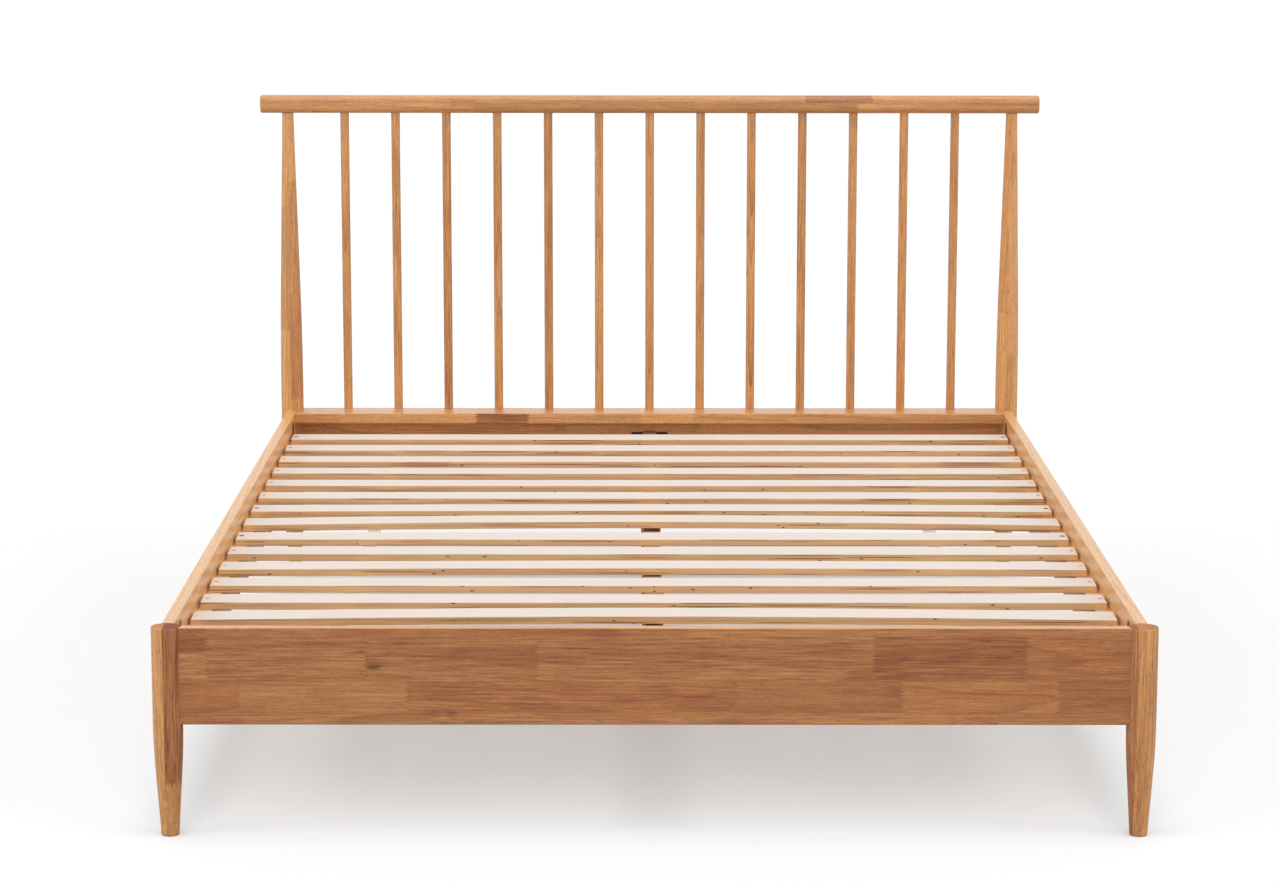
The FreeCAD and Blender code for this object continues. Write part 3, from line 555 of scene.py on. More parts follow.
def hardwood(name, way, seed, depth=0.4, spread=0.3, lines=(), width=0.06, length=0.4, ring_gap=0.007,
             lean=0.06, waver=0.012, ring_weight=0.42, figure=1.0, chosen=(), joined=1.0, knots=(),
             painted_shade_boxes=(), pale=pale_tone):
    """Oiled hardwood. Depth is its mean tone, from 0 pale to 1 deep, and spread how staves differ."""
    material, tree, shader = start_material(name)
    place = places_along(tree, way)
    stave, tone, glue = lay_staves(tree, place, seed, depth, spread, lines, width, length, chosen)
    grain = use_group(tree, grain_group, Vector=place, Stave=stave, Ring_Gap=ring_gap, Lean=lean,
                      Waver=waver)
    chance = split(tree, stave)
    stripes = calc(tree, "MULTIPLY", grain["Streaks"], calc(tree, "MULTIPLY_ADD", chance[0], 0.5, 0.25))
    tone = calc(tree, "MULTIPLY_ADD", grain["Clouds"], cloud_weight * figure, tone)
    tone = calc(tree, "MULTIPLY_ADD", stripes, figure, tone)
    tone = calc(tree, "MULTIPLY_ADD", grain["Fibres"], fibre_weight * figure, tone)
    facing = split(tree, place_node(tree, "NewGeometry").outputs["Normal"])[grain_ways[way][0]]
    cut_end = fade(tree, calc(tree, "ABSOLUTE", facing), 0.75, 0.95)
    tone = calc(tree, "MULTIPLY_ADD", cut_end, end_grain_tone, tone)
    colour = blend_colour(tree, calc(tree, "MULTIPLY", tone, tone_share), pale, deep_tone)
    for mask, weight, over, mode in (
            (grain["Rings"], ring_weight, ring_tone, "MIX"),
            (grain["Pores"], pore_weight, pore_tone, "MIX"),
            (fade(tree, chance[2], 0.6, 1.0), red_weight, red_cast, "MULTIPLY"),
            (glue, glue_weight * joined, glue_tone, "MIX")):
        colour = blend_colour(tree, calc(tree, "MULTIPLY", mask, weight), colour, over, mode)
    for middle, reach, weight in knots:
        colour = blend_colour(tree, knot_mask(tree, place, middle, reach, weight), colour, knot_tone)
    # Boxes painted dark: painted shade inside the rear bolt pockets.
    for low, high in painted_shade_boxes:
        colour = blend_colour(tree, box_mask(tree, place, low, high), colour, pocket_painted_shade_tone)
    wear = use_group(tree, edge_group, Vector=place)["Wear"]
    colour = blend_colour(tree, calc(tree, "MULTIPLY", wear, worn_weight), colour, pale_tone)
    plug(tree, colour, shader["Base Color"])
    sheen = calc(tree, "MULTIPLY_ADD", grain["Streaks"], 0.05, oil_roughness)
    sheen = calc(tree, "MULTIPLY_ADD", grain["Pores"], 0.16, sheen)
    sheen = calc(tree, "MULTIPLY_ADD", cut_end, 0.25, sheen)
    plug(tree, calc(tree, "MULTIPLY_ADD", wear, -0.08, sheen), shader["Roughness"])
    shader["Specular IOR Level"].default_value = 0.36
    plug(tree, calc(tree, "MULTIPLY_ADD", cut_end, -0.55, coat_weight), shader["Coat Weight"])
    shader["Coat Roughness"].default_value = 0.27
    relief = calc(tree, "MULTIPLY_ADD", grain["Pores"], -1.0, calc(tree, "MULTIPLY", grain["Fibres"], 0.3))
    rough_up(tree, shader, relief, 0.00012, 0.6)
    return material


# %% [markdown]
# ## Where the real bed's staves lie
#
# The boards that face the viewer are judged most, so their staves are written down one by one,
# as start and end along the board, low and high across it, and tone. The footboard is glued of
# four strips. Its upper edge is painted paler than its face: a painted highlight, for the light
# that falls on it. Around the staves that are written down, chance lays out the rest.

# %% Footboard
strip_lines = (0.206, 0.258, 0.332)
footboard_staves = (
    (-0.80, -0.719, 0.305, 0.35, 0.93),
    (-0.719, -0.462, 0.258, 0.332, 0.83),
    (-0.462, -0.190, 0.258, 0.332, 0.87),
    (-0.190, 0.353, 0.258, 0.332, 0.82),
    (0.353, 0.597, 0.258, 0.332, 0.98),
    (0.597, 0.80, 0.258, 0.332, 0.84),
    (-0.80, -0.669, 0.206, 0.258, 0.84),
    (-0.669, -0.398, 0.206, 0.258, 0.73),
    (-0.398, 0.131, 0.206, 0.258, 0.84),
    (0.131, 0.398, 0.206, 0.258, 0.89),
    (0.398, 0.650, 0.206, 0.258, 0.74),
    (0.650, 0.80, 0.206, 0.258, 0.92),
    # Painted highlight: the footboard's upper edge gets a pale tone for the light that falls on it.
    (-0.80, 0.80, 0.3456, 0.36, 0.16),
)
footboard_knots = (
    ((-0.452, 0.282), (0.019, 0.0085), 0.8),
    ((-0.353, 0.2055), (0.014, 0.010), 0.4),
    ((-0.328, 0.2055), (0.016, 0.011), 0.45),
)
footboard_wood = hardwood("footboard wood", "x", 1.0, depth=0.80, spread=0.16, lines=strip_lines,
                          length=0.6, chosen=footboard_staves, knots=footboard_knots, figure=0.9,
                          ring_weight=0.6)
dress(footboard_wood, "footboard_panel")
print("footboard staves:", len(footboard_staves))

# %% Ledge, head board and crest
ledge_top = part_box("head_ledge_rail")[1].z
ledge_staves = (
    (-0.78, -0.679, 0.2, 0.4, 0.36),
    (-0.679, -0.378, 0.2, 0.4, 0.20),
    (-0.378, -0.265, 0.2, ledge_top - 0.001, 0.88),
    (-0.265, -0.022, 0.2, 0.4, 0.30),
    (-0.022, 0.097, 0.2, 0.4, 0.12),
    (0.097, 0.30, 0.2, 0.4, 0.28),
)
dress(hardwood("ledge wood", "x", 3.0, depth=0.22, width=0.2, chosen=ledge_staves), "head_ledge_rail")
# Painted light: the head board is given a tone paler than the frame's palest, for the light that reaches it
# under the ledge.
board_painted_light_tone = srgb(238, 166, 98)
head_board_staves = ((-0.80, -0.184, 0.27, 0.33, 0.16), (-0.184, -0.04, 0.27, 0.33, 0.04))
head_board_wood = hardwood("head board wood", "x", 2.0, depth=-0.04, figure=1.3,
                           chosen=head_board_staves, pale=board_painted_light_tone)
dress(head_board_wood, "head_board")
crest_line = 1.020
crest_staves = (
    (-0.85, -0.55, crest_line, 1.04, 0.50),
    (-0.428, -0.380, 1.014, 1.026, 0.66),
    (-0.380, 0.338, crest_line, 1.04, 0.48),
    (0.338, 0.481, crest_line, 1.04, 0.90),
    (-0.38, 0.45, 0.99, crest_line, 0.56),
)
crest_wood = hardwood("crest wood", "x", 4.0, depth=0.42, lines=(crest_line,), length=0.32,
                      chosen=crest_staves)
dress(crest_wood, "crest_rail")
print("staves in ledge and crest:", len(ledge_staves), "and", len(crest_staves))

# %% [markdown]
# ## Finding each small steel piece
#
# The frame keeps identical fasteners together, so one node holds all eight bolt washers, and one
# holds all twenty-two slat staples. Some work below needs to know where each one is. This helper
# walks along the edges of the mesh from one corner to the next until a separate piece is
# complete, and notes its box. It reads the frame and leaves it as it is.

# %% Where each small piece is
def single_boxes(node):
    """The lowest and highest corner of each separate piece in one node of the frame."""
    mesh = bmesh.new()
    mesh.from_mesh(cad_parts[node].data)
    bmesh.ops.remove_doubles(mesh, verts=mesh.verts, dist=1e-6)
    left = set(mesh.verts)
    boxes = []
    while left:
        waiting = [left.pop()]
        points = []
        while waiting:
            corner = waiting.pop()
            points.append(corner.co.copy())
            others = [edge.other_vert(corner) for edge in corner.link_edges]
            fresh = [other for other in others if other in left]
            left.difference_update(fresh)
            waiting.extend(fresh)
        low = Vector([min(point[axis] for point in points) for axis in range(3)])
        high = Vector([max(point[axis] for point in points) for axis in range(3)])
        boxes.append((low, high))
    mesh.free()
    return sorted(boxes, key=lambda box: [round(part, 4) for part in box[0]])


print("hanger bolts in their one node:", len(single_boxes("hanger_bolts")))

# %% [markdown]
# ## The rear bolt pockets
#
# Near the head each rail has a pocket, cut from its inner face with a router, where a spanner
# reaches the nuts. Its inside is painted dark: painted shade, for the shadow that fills the pocket.
# A second material would need its own faces, and the frame's meshes stay as they are. So the wood
# is told which box is painted dark, and that box begins a hair under the faces of the rail. The
# pocket's end is the wall that the washers lie against. The pockets near the foot can't be seen in
# the photograph, so they keep the tone of the rail.

# %% Rear pockets
washer_wall = max(high.y for low, high in single_boxes("bolt_washers"))
pocket_width = 0.037
skin = 0.0004


def rear_pocket(side):
    """The box of the pocket at a rail's head end. Its corners are along, across and deep."""
    rail_low, rail_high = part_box("side_rail_" + side)
    low = (washer_wall - pocket_width - skin, rail_low.z + skin, rail_low.x + skin)
    high = (washer_wall + skin, rail_high.z - skin, rail_high.x - skin)
    return low, high


print("the washers' wall is at", round(washer_wall, 4))

# %% [markdown]
# ## Rails, legs and posts
#
# The rails are given the palest tone of the frame: partly their own paler wood, and partly painted
# sheen, for the white that their faces mirror at a low angle. The legs and posts are turned from
# blanks of two or three staves that are glued side by side, so each shows a straight line from top
# to bottom with another tone on either side. The grain stands upright in them.

# %% Rails, legs and posts
leg_line = 0.789
left_leg_staves = ((0.0, 0.36, -0.82, -leg_line, 0.28), (0.088, 0.36, -leg_line, -0.75, 0.98))
right_leg_staves = ((0.0, 0.36, 0.75, 0.7747, 0.78), (0.0, 0.36, 0.7747, 0.82, 0.44))
left_post_staves = (
    (0.790, 1.03, -0.82, -0.786, 0.14),
    (0.524, 0.790, -0.82, -0.786, 0.38),
    (0.30, 0.524, -0.82, -0.786, 0.12),
    (0.849, 1.03, -0.786, -0.75, 0.18),
    (0.602, 0.849, -0.786, -0.75, 0.42),
    (0.372, 0.602, -0.786, -0.75, 0.50),
)
post_lines = {"left": (-0.786,), "right": (0.782,)}
rail_lines = (0.21, 0.262, 0.315)
# Partly the rails' own paler wood, partly painted sheen for the white their faces mirror at a low angle.
rail_tone_with_painted_sheen = srgb(233, 178, 114)
leg_staves = {"left": left_leg_staves, "right": right_leg_staves}
post_staves = {"left": left_post_staves, "right": ()}

for number, side in enumerate(("left", "right")):
    rail_wood = hardwood("rail wood " + side, "y", 5.0 + number, depth=0.0, spread=0.16,
                         lines=rail_lines, length=0.45, figure=0.65, painted_shade_boxes=(rear_pocket(side),),
                         pale=rail_tone_with_painted_sheen)
    dress(rail_wood, "side_rail_" + side)
    leg_wood = hardwood("leg wood " + side, "z", 7.0 + number, depth=0.56, width=0.03, figure=1.3,
                        chosen=leg_staves[side])
    dress(leg_wood, "front_leg_" + side)
    post_wood = hardwood("post wood " + side, "z", 9.0 + number, depth=0.24, lines=post_lines[side],
                         length=0.28, chosen=post_staves[side])
    dress(post_wood, "rear_post_" + side)
print("materials so far:", len(bpy.data.materials))

# %% [markdown]
# ## Spindles
#
# Each spindle is turned from one stick, so it has no glue lines and no finger joints: its stave is
# longer and wider than itself. Some sticks come from darker wood, and two show strong rings.

# %% Spindles
spindle_numbers = range(1, 14)
darker_spindles = {3: 0.50, 5: 0.54, 8: 0.46, 10: 0.48}
figured_spindles = (4, 9)
for number in spindle_numbers:
    depth = darker_spindles.get(number, 0.34)
    ring_weight = 0.9 if number in figured_spindles else 0.55
    wood = hardwood("spindle wood %02d" % number, "z", 20.0 + number, depth=depth, spread=0.1,
                    width=0.3, length=9.0, ring_gap=0.0045, lean=0.1, ring_weight=ring_weight,
                    figure=1.35, joined=0.0)
    dress(wood, "spindle_%02d" % number)
print("hardwood materials:", len(bpy.data.materials))

# %% [markdown]
# ## The softwood slats
#
# The slats are bare softwood, sanded but not oiled, so they are far paler than the frame and
# almost without sheen. Faces that look upward are painted paler, whiter and a little pink: painted
# light, for the strong light from above and the white sheen that a low view sees on them. Their
# sawn edges are browner, and show the growth rings as stripes, with dark streaks and small knots:
# the maker turns those boards so that the mattress lies on the clean face. Where a staple is driven
# into a soft face, the wood round it is painted darker: partly crushed wood, and partly painted
# shade of the dent and the staple. From a distance that dark mark is all one sees of it.

# %% Softwood
softwood_streak = srgb(150, 92, 52)
softwood_knot = srgb(42, 20, 10)
layer_stretch = (1.6, 380.0, 2.0)


def softwood(name, way, seed, top_painted_light, edge, dents=()):
    """Bare softwood, with an upper face painted paler as painted light, browner sawn edges, and dents painted
    darker as crushed wood and painted shade.
    """
    material, tree, shader = start_material(name)
    place = places_along(tree, way)
    stave = by_chance(tree, seed)["Color"]
    grain = use_group(tree, grain_group, Vector=place, Stave=stave, Ring_Gap=0.0042, Lean=0.012,
                      Waver=0.008)
    # Upward faces get the paler top colour: painted light, for the light from above and the sheen on them.
    upward_painted_light = fade(tree, split(tree, place_node(tree, "NewGeometry").outputs["Normal"])[2], 0.3, 0.9)
    sawn = calc(tree, "SUBTRACT", 1.0, upward_painted_light)
    colour = blend_colour(tree, upward_painted_light, edge, top_painted_light)
    shade = calc(tree, "MULTIPLY_ADD", grain["Streaks"], 0.55, calc(tree, "MULTIPLY", grain["Clouds"], 0.5))
    shade = calc(tree, "MULTIPLY_ADD", grain["Rings"], 0.8, shade)
    layer_place = vector_calc(tree, "MULTIPLY", place, layer_stretch)
    layers = cloudy(tree, vector_calc(tree, "ADD", layer_place, (seed, seed, 0.0)), 1.0, 2.0, 0.6)
    shade = calc(tree, "MULTIPLY_ADD", calc(tree, "SUBTRACT", layers, 0.52), 3.2, shade)
    shade = calc(tree, "MULTIPLY", shade, calc(tree, "MULTIPLY_ADD", sawn, 0.62, 0.08))
    colour = blend_colour(tree, shade, colour, softwood_streak)
    streaks = use_group(tree, fleck_group, Vector=place, Along=7.0, Across=420.0, Share=0.12, Size=0.6,
                        Seed=seed)
    streak = calc(tree, "MULTIPLY", streaks["Mask"], calc(tree, "MULTIPLY", sawn, 0.8))
    colour = blend_colour(tree, streak, colour, softwood_streak)
    knots = use_group(tree, fleck_group, Vector=place, Along=120.0, Across=430.0, Share=0.007, Size=0.5,
                      Seed=seed + 0.5)
    knot = calc(tree, "MULTIPLY", knots["Mask"], calc(tree, "MULTIPLY_ADD", sawn, 0.95, 0.05))
    colour = blend_colour(tree, knot, colour, softwood_knot)
    wear = use_group(tree, edge_group, Vector=place)["Wear"]
    colour = blend_colour(tree, calc(tree, "MULTIPLY", wear, 0.2), colour, top_painted_light)
    # Darker marks round each staple and screw: partly crushed wood, partly painted shade of the dent and the
    # fastener.
    for dent, reach in dents:
        away = vector_calc_value(tree, "DISTANCE", place, dent)
        crushed_and_shaded = fade(tree, away, reach * 0.7, reach, 0.75, 0.0)
        colour = blend_colour(tree, crushed_and_shaded, colour, softwood_streak)
    plug(tree, colour, shader["Base Color"])
    plug(tree, calc(tree, "MULTIPLY_ADD", grain["Fibres"], 0.08, 0.56), shader["Roughness"])
    rough_up(tree, shader, grain["Fibres"], 0.0001, 0.5)
    return material


# %% Slats
slat_numbers = range(1, 15)
screwed_slats = (1, 7, 9)
screw_dent, staple_dent = 0.0068, 0.0048
# Painted light: the slats' upper faces get this pale, whitish colour for the light and sheen on them.
slat_top_painted_light = srgb(232, 219, 209)
slat_edge = srgb(224, 180, 130)


def slat_name(number):
    """The frame's name for one slat, counted from the head."""
    return "slat_%02d" % number


def end_dents(number, reach):
    """The dents at both ends of a slat, each as its place along, across and deep, and its reach."""
    low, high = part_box(slat_name(number))
    middle = (low.y + high.y) / 2
    ledger_low, ledger_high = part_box("slat_ledger_right")
    out = (ledger_low.x + ledger_high.x) / 2
    return [((side * out, high.z, middle), reach) for side in (-1, 1)]


for number in slat_numbers:
    dents = end_dents(number, screw_dent if number in screwed_slats else staple_dent)
    wood = softwood("slat softwood %02d" % number, "x", 40.0 + number, slat_top_painted_light, slat_edge, dents=dents)
    dress(wood, slat_name(number))
print("slats:", len(slat_numbers), "of which screwed:", len(screwed_slats))

# %% [markdown]
# ## Pieces made here
#
# The remaining pieces get a mesh of their own. Each one starts as a working mesh of rings of
# points, is joined up ring by ring, and is then given a material, the body of the frame that it
# moves with, and the plain solid that it stands for.

# %% Helpers for small pieces
def make_piece(name, mesh, material, body, stands_for=()):
    """Turn a working mesh into a piece of the bed that moves with one of its bodies."""
    bmesh.ops.recalc_face_normals(mesh, faces=mesh.faces)
    data = bpy.data.meshes.new(name)
    mesh.to_mesh(data)
    mesh.free()
    data.shade_smooth()
    data.set_sharp_from_angle(angle=math.radians(38))
    data.materials.append(material)
    piece = bpy.data.objects.new(name, data)
    bpy.context.scene.collection.objects.link(piece)
    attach(piece, body)
    if stands_for:
        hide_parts(*stands_for)
    print(name, "has", len(data.vertices), "points")
    return piece


def bridge(mesh, first, second):
    """Faces between two closed rings with as many points each."""
    count = len(first)
    for index in range(count):
        after = (index + 1) % count
        mesh.faces.new((first[index], first[after], second[after], second[index]))


# %% [markdown]
# ## Steel finishes
#
# Fasteners are small, but they sit in the open at the ends of the slats and in the bolt pockets.
# Bright zinc is cloudy rather than mirror-like, black powder coat has a fine orange-peel skin,
# and the blackened screws are rubbed bright on their edges by the driver.

# %% Steel
def steel(name, colour, worn, metallic, smooth, speckle=900.0, wear_amount=0.6):
    """A metal finish: its colour, what shows where it is worn, and how smooth it is."""
    material, tree, shader = start_material(name)
    place = place_node(tree, "TexCoord").outputs["Object"]
    clouds = cloudy(tree, place, 180.0, 3.0)
    grains = cloudy(tree, place, speckle, 2.0)
    edges = use_group(tree, edge_group, Vector=place, Reach=0.0006, Patchiness=400.0)
    wear = calc(tree, "MULTIPLY", edges["Wear"], wear_amount)
    dull = [part * 0.78 for part in colour[:3]] + [1.0]
    base = blend_colour(tree, fade(tree, clouds, 0.3, 0.7), colour, dull)
    plug(tree, blend_colour(tree, wear, base, worn), shader["Base Color"])
    shader["Metallic"].default_value = metallic
    roughness = calc(tree, "MULTIPLY_ADD", grains, 0.25, smooth)
    plug(tree, calc(tree, "MULTIPLY_ADD", wear, -0.12, roughness), shader["Roughness"])
    rough_up(tree, shader, grains, 0.00003, 0.5)
    return material


bright_steel = srgb(214, 214, 210)
zinc = steel("zinc plate", srgb(196, 198, 200), bright_steel, 1.0, 0.28)
black_coat = steel("black powder coat", srgb(40, 29, 20), srgb(78, 66, 56), 0.0, 0.42,
                   speckle=1400.0, wear_amount=0.4)
blackened = steel("blackened steel", srgb(62, 56, 50), srgb(150, 146, 140), 0.9, 0.36)
staple_steel = steel("galvanised wire", srgb(168, 160, 148), bright_steel, 0.9, 0.34)

dress(zinc, "bolt_washers", "glide_inserts")
dress(black_coat, "beam_bracket_head", "beam_bracket_foot")
dress(blackened, "slat_screws", "ledger_screws", "bracket_screws")
print("steel finishes:", [finish.name for finish in (zinc, black_coat, blackened, staple_steel)])

# %% [markdown]
# ## Staples of bent wire
#
# A staple is round wire with two tight bends, and its points are cut to a chisel. A plain solid
# with square corners reads as a slot in the wood. Here a ring of points is carried along the
# wire's path, straight, round the bend and across the crown, and is pinched flat at both tips.

# %% Staples
wire_radius = 0.0006
wire_bend = 0.0014
wire_sides = 8
chisel_length = 0.0018
tip_pinch = 0.25


def staple_path(half_width, leg):
    """The wire's centre line in its own plane: across, and up from the crown's outer side."""
    side = half_width - wire_radius
    crown = -wire_radius
    corner = [(side - wire_bend + wire_bend * math.sin(math.radians(angle)),
               crown - wire_bend + wire_bend * math.cos(math.radians(angle))) for angle in range(0, 91, 18)]
    right_half = corner + [(side, -leg + chisel_length), (side, -leg)]
    left_half = [(-across, rise) for across, rise in reversed(right_half)]
    return left_half + right_half


def add_staple(mesh, low, high, crown_up):
    """One staple of round wire in the box of a plain one."""
    middle = (low + high) / 2
    flip = 1 if crown_up else -1
    crown = high.z if crown_up else low.z
    path = staple_path((high.x - low.x) / 2, high.z - low.z)
    centres = [Vector((middle.x + across, middle.y, crown + flip * rise)) for across, rise in path]
    rings = []
    for index, centre in enumerate(centres):
        before, after = centres[max(index - 1, 0)], centres[min(index + 1, len(centres) - 1)]
        run = (after - before).normalized()
        sideways = Vector((0, 1, 0))
        outward = run.cross(sideways)
        pinch = tip_pinch if index in (0, len(centres) - 1) else 1.0
        ring = []
        for step in range(wire_sides):
            angle = 2 * math.pi * step / wire_sides
            offset = sideways * math.cos(angle) + outward * math.sin(angle) * pinch
            ring.append(mesh.verts.new(centre + offset * wire_radius))
        rings.append(ring)
    for first, second in zip(rings, rings[1:]):
        bridge(mesh, first, second)
    mesh.faces.new(rings[0])
    mesh.faces.new(rings[-1])


def make_staples(name, node, crown_up):
    """All the staples of one node as one piece."""
    mesh = bmesh.new()
    boxes = single_boxes(node)
    for low, high in boxes:
        add_staple(mesh, low, high, crown_up)
    print(node, "holds", len(boxes), "staples")
    make_piece(name, mesh, staple_steel, "bed_frame", [node])


make_staples("slat_staple_wires", "slat_staples", True)
make_staples("webbing_staple_wires", "webbing_staples", False)

# %% [markdown]
# ## Threaded steel
#
# Each corner is held by hanger bolts: a coarse wood thread that is driven into the leg, a plain
# shank, and a fine machine thread for the nut. A thread can be a boolean cut or a screw
# modifier, but both are slow over ten bolts. A thread is only a round bar whose radius depends
# on height and angle together, so one loop of rings can place every point directly.

# %% Bolts
ring_step = 0.0003125
rod_sides = 16


def saw(run):
    """A triangle wave between 0 and 1."""
    return abs(2 * (run % 1.0) - 1)


def add_rod(mesh, start, direction, length, radius_at):
    """A round bar whose radius is a function of height and of the turn, from 0 to 1."""
    turn_to = Vector((0, 0, 1)).rotation_difference(direction).to_matrix()
    count = round(length / ring_step)
    rings = []
    for level in range(count + 1):
        height = length * level / count
        ring = []
        for step in range(rod_sides):
            turn = step / rod_sides
            angle = 2 * math.pi * turn
            radius = radius_at(height, turn)
            point = Vector((radius * math.cos(angle), radius * math.sin(angle), height))
            ring.append(mesh.verts.new(start + turn_to @ point))
        rings.append(ring)
    for first, second in zip(rings, rings[1:]):
        bridge(mesh, first, second)
    mesh.faces.new(rings[0])
    mesh.faces.new(rings[-1])


bolt_radius = 0.004
fine_pitch, fine_depth = 0.00125, 0.0007
coarse_pitch, coarse_depth = 0.0034, 0.0012
coarse_length, plain_length = 0.028, 0.026
bolt_length = 0.098
wood_point = 0.009
long_way = 0.05


def machine_thread(height, turn, length):
    """The radius of a fine thread with a lead-in at its end."""
    lead_in = min(fine_depth * 1.3, max(0.0, height - length + fine_depth * 1.3))
    return bolt_radius - max(lead_in, fine_depth * saw(height / fine_pitch - turn))


def hanger_bolt_radius(height, turn):
    """The wood thread with its point, the shank, then the machine thread with its lead-in."""
    if height < coarse_length:
        point = min(1.0, 0.25 + height / wood_point)
        return point * (bolt_radius - coarse_depth * saw(height / coarse_pitch - turn))
    if height < coarse_length + plain_length:
        return bolt_radius - fine_depth * 0.4
    return machine_thread(height, turn, bolt_length)


def make_bolts():
    """Corner bolts point from the leg to the rail, and the centre legs' bolts point down."""
    mesh = bmesh.new()
    boxes = single_boxes("hanger_bolts")
    for low, high in boxes:
        middle = (low + high) / 2
        if high.z - low.z > long_way:
            start, direction = Vector((middle.x, middle.y, high.z)), Vector((0, 0, -1))
        elif middle.y > 0:
            start, direction = Vector((middle.x, high.y, middle.z)), Vector((0, -1, 0))
        else:
            start, direction = Vector((middle.x, low.y, middle.z)), Vector((0, 1, 0))
        add_rod(mesh, start, direction, bolt_length, hanger_bolt_radius)
    print("bolts:", len(boxes))
    make_piece("hanger_bolt_threads", mesh, zinc, "bed_frame", ["hanger_bolts"])


make_bolts()

# %% [markdown]
# ## Nuts
#
# A nut is a hexagon whose corners are turned off by a cone. The height of that cone at any angle
# depends only on how far out the hexagon reaches there, so eight rings of points describe the
# whole nut: two at the bore, two on each face, and two where the cone meets the flats.

# %% Nuts
nut_points = 48
bore_ease = 0.0005
bore_room = 0.00005


def hexagon_reach(flats, angle):
    """How far a hexagon reaches at an angle, where one pair of its flats is square to zero."""
    from_flat = (angle + math.pi / 6) % (math.pi / 3) - math.pi / 6
    return flats / 2 / math.cos(from_flat)


def add_nut(mesh, place, direction, flats, height, bore):
    """A nut with its lower face at a place."""
    turn_to = Vector((0, 0, 1)).rotation_difference(direction).to_matrix()
    face_reach = flats / 2 * 0.97
    rings = [[] for _ in range(8)]
    for step in range(nut_points):
        angle = 2 * math.pi * step / nut_points
        reach = hexagon_reach(flats, angle)
        cone = (reach - face_reach) * math.tan(math.radians(30))
        lower = [(bore, bore_ease), (bore + bore_ease, 0), (face_reach, 0), (reach, cone)]
        upper = [(radius, height - rise) for radius, rise in reversed(lower)]
        for ring, (radius, rise) in zip(rings, lower + upper):
            point = Vector((radius * math.cos(angle), radius * math.sin(angle), rise))
            ring.append(mesh.verts.new(place + turn_to @ point))
    for first, second in zip(rings, rings[1:] + rings[:1]):
        bridge(mesh, first, second)


def make_nuts():
    """Each nut's lower face looks away from the rail's pocket, towards the leg or post."""
    mesh = bmesh.new()
    boxes = single_boxes("bolt_nuts")
    for low, high in boxes:
        middle = (low + high) / 2
        sense = -1 if middle.y > 0 else 1
        near = high.y if middle.y > 0 else low.y
        place = Vector((middle.x, near, middle.z))
        bore = bolt_radius + bore_room
        add_nut(mesh, place, Vector((0, sense, 0)), high.x - low.x, high.y - low.y, bore)
    print("nuts:", len(boxes))
    make_piece("hexagon_nuts", mesh, zinc, "bed_frame", ["bolt_nuts"])


make_nuts()

# %% [markdown]
# ## Levelling glides
#
# Under each centre leg a glide screws up and down to take up an uneven floor: a nylon pad, a
# hexagon collar for the spanner, and a machine thread that runs into a sleeve in the leg. The
# thread shows between collar and leg, so it is worth its real form.

# %% Glides
collar_height = 0.005
spigot_length = 0.003
spigot_radius = 0.003
collar_flats = 0.013
lap = 0.001


def make_glide_stud(name, node, body):
    """A smooth spigot in the pad, a hexagon collar and a machine thread, each let into the next."""
    low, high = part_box(node)
    middle = (low + high) / 2
    collar_low = low.z + spigot_length
    shank_low = collar_low + collar_height
    thread_length = high.z - shank_low + lap
    upward_painted_light = Vector((0, 0, 1))

    def spigot(height, turn):
        return spigot_radius

    def thread(height, turn):
        return machine_thread(height, turn, thread_length)

    mesh = bmesh.new()
    add_rod(mesh, Vector((middle.x, middle.y, low.z)), upward_painted_light, spigot_length + lap, spigot)
    collar_place = Vector((middle.x, middle.y, collar_low))
    add_nut(mesh, collar_place, upward_painted_light, collar_flats, collar_height, spigot_radius * 0.9)
    add_rod(mesh, Vector((middle.x, middle.y, shank_low - lap)), upward_painted_light, thread_length, thread)
    make_piece(name, mesh, zinc, body, [node])


make_glide_stud("glide_thread_front", "glide_stud_front", "glide_front")
make_glide_stud("glide_thread_rear", "glide_stud_rear", "glide_rear")


def moulded_plastic(name, colour):
    """Black nylon with the fine satin of its mould."""
    material, tree, shader = start_material(name)
    place = place_node(tree, "TexCoord").outputs["Object"]
    satin = cloudy(tree, place, 2200.0, 2.0)
    clouds = cloudy(tree, place, 90.0, 2.0)
    lighter = [part * 1.5 for part in colour[:3]] + [1.0]
    plug(tree, blend_colour(tree, clouds, colour, lighter), shader["Base Color"])
    plug(tree, calc(tree, "MULTIPLY_ADD", satin, 0.2, 0.4), shader["Roughness"])
    rough_up(tree, shader, satin, 0.00002, 0.6)
    return material


dress(moulded_plastic("black nylon", srgb(38, 38, 40)), "glide_pad_front", "glide_pad_rear")

# %% [markdown]
# ## Webbing
#
# Two woven tapes run under the slats and keep them evenly spaced. They are pulled tight and
# stapled, so each lies flat against a slat, and hangs a millimetre or two in the gap. Cloth
# simulation would add nothing to a tape under tension: the sag is a shallow arc, so it is set
# by formula. The tape is one closed strip with rounded edges.

# %% Webbing
tape_width = 0.0245
tape_thickness = 0.0012
tape_sag = 0.0018
steps_in_gap = 8
rib_pitch, yarn_pitch = 0.0011, 0.0016


def webbing_node(side):
    """The frame's name for one strap. Side is -1 for the left and 1 for the right."""
    return "slat_webbing_left" if side < 0 else "slat_webbing_right"


def tape_profile():
    """The tape's cross-section as (across, rise) from the middle of its upper face."""
    half, thick = tape_width / 2, tape_thickness
    upper = [(-half + thick * 0.3, 0), (half - thick * 0.3, 0)]
    right_edge = [(half, -thick * 0.3), (half, -thick * 0.7)]
    lower = [(half - thick * 0.3, -thick), (-half + thick * 0.3, -thick)]
    left_edge = [(-half, -thick * 0.7), (-half, -thick * 0.3)]
    return upper + right_edge + lower + left_edge


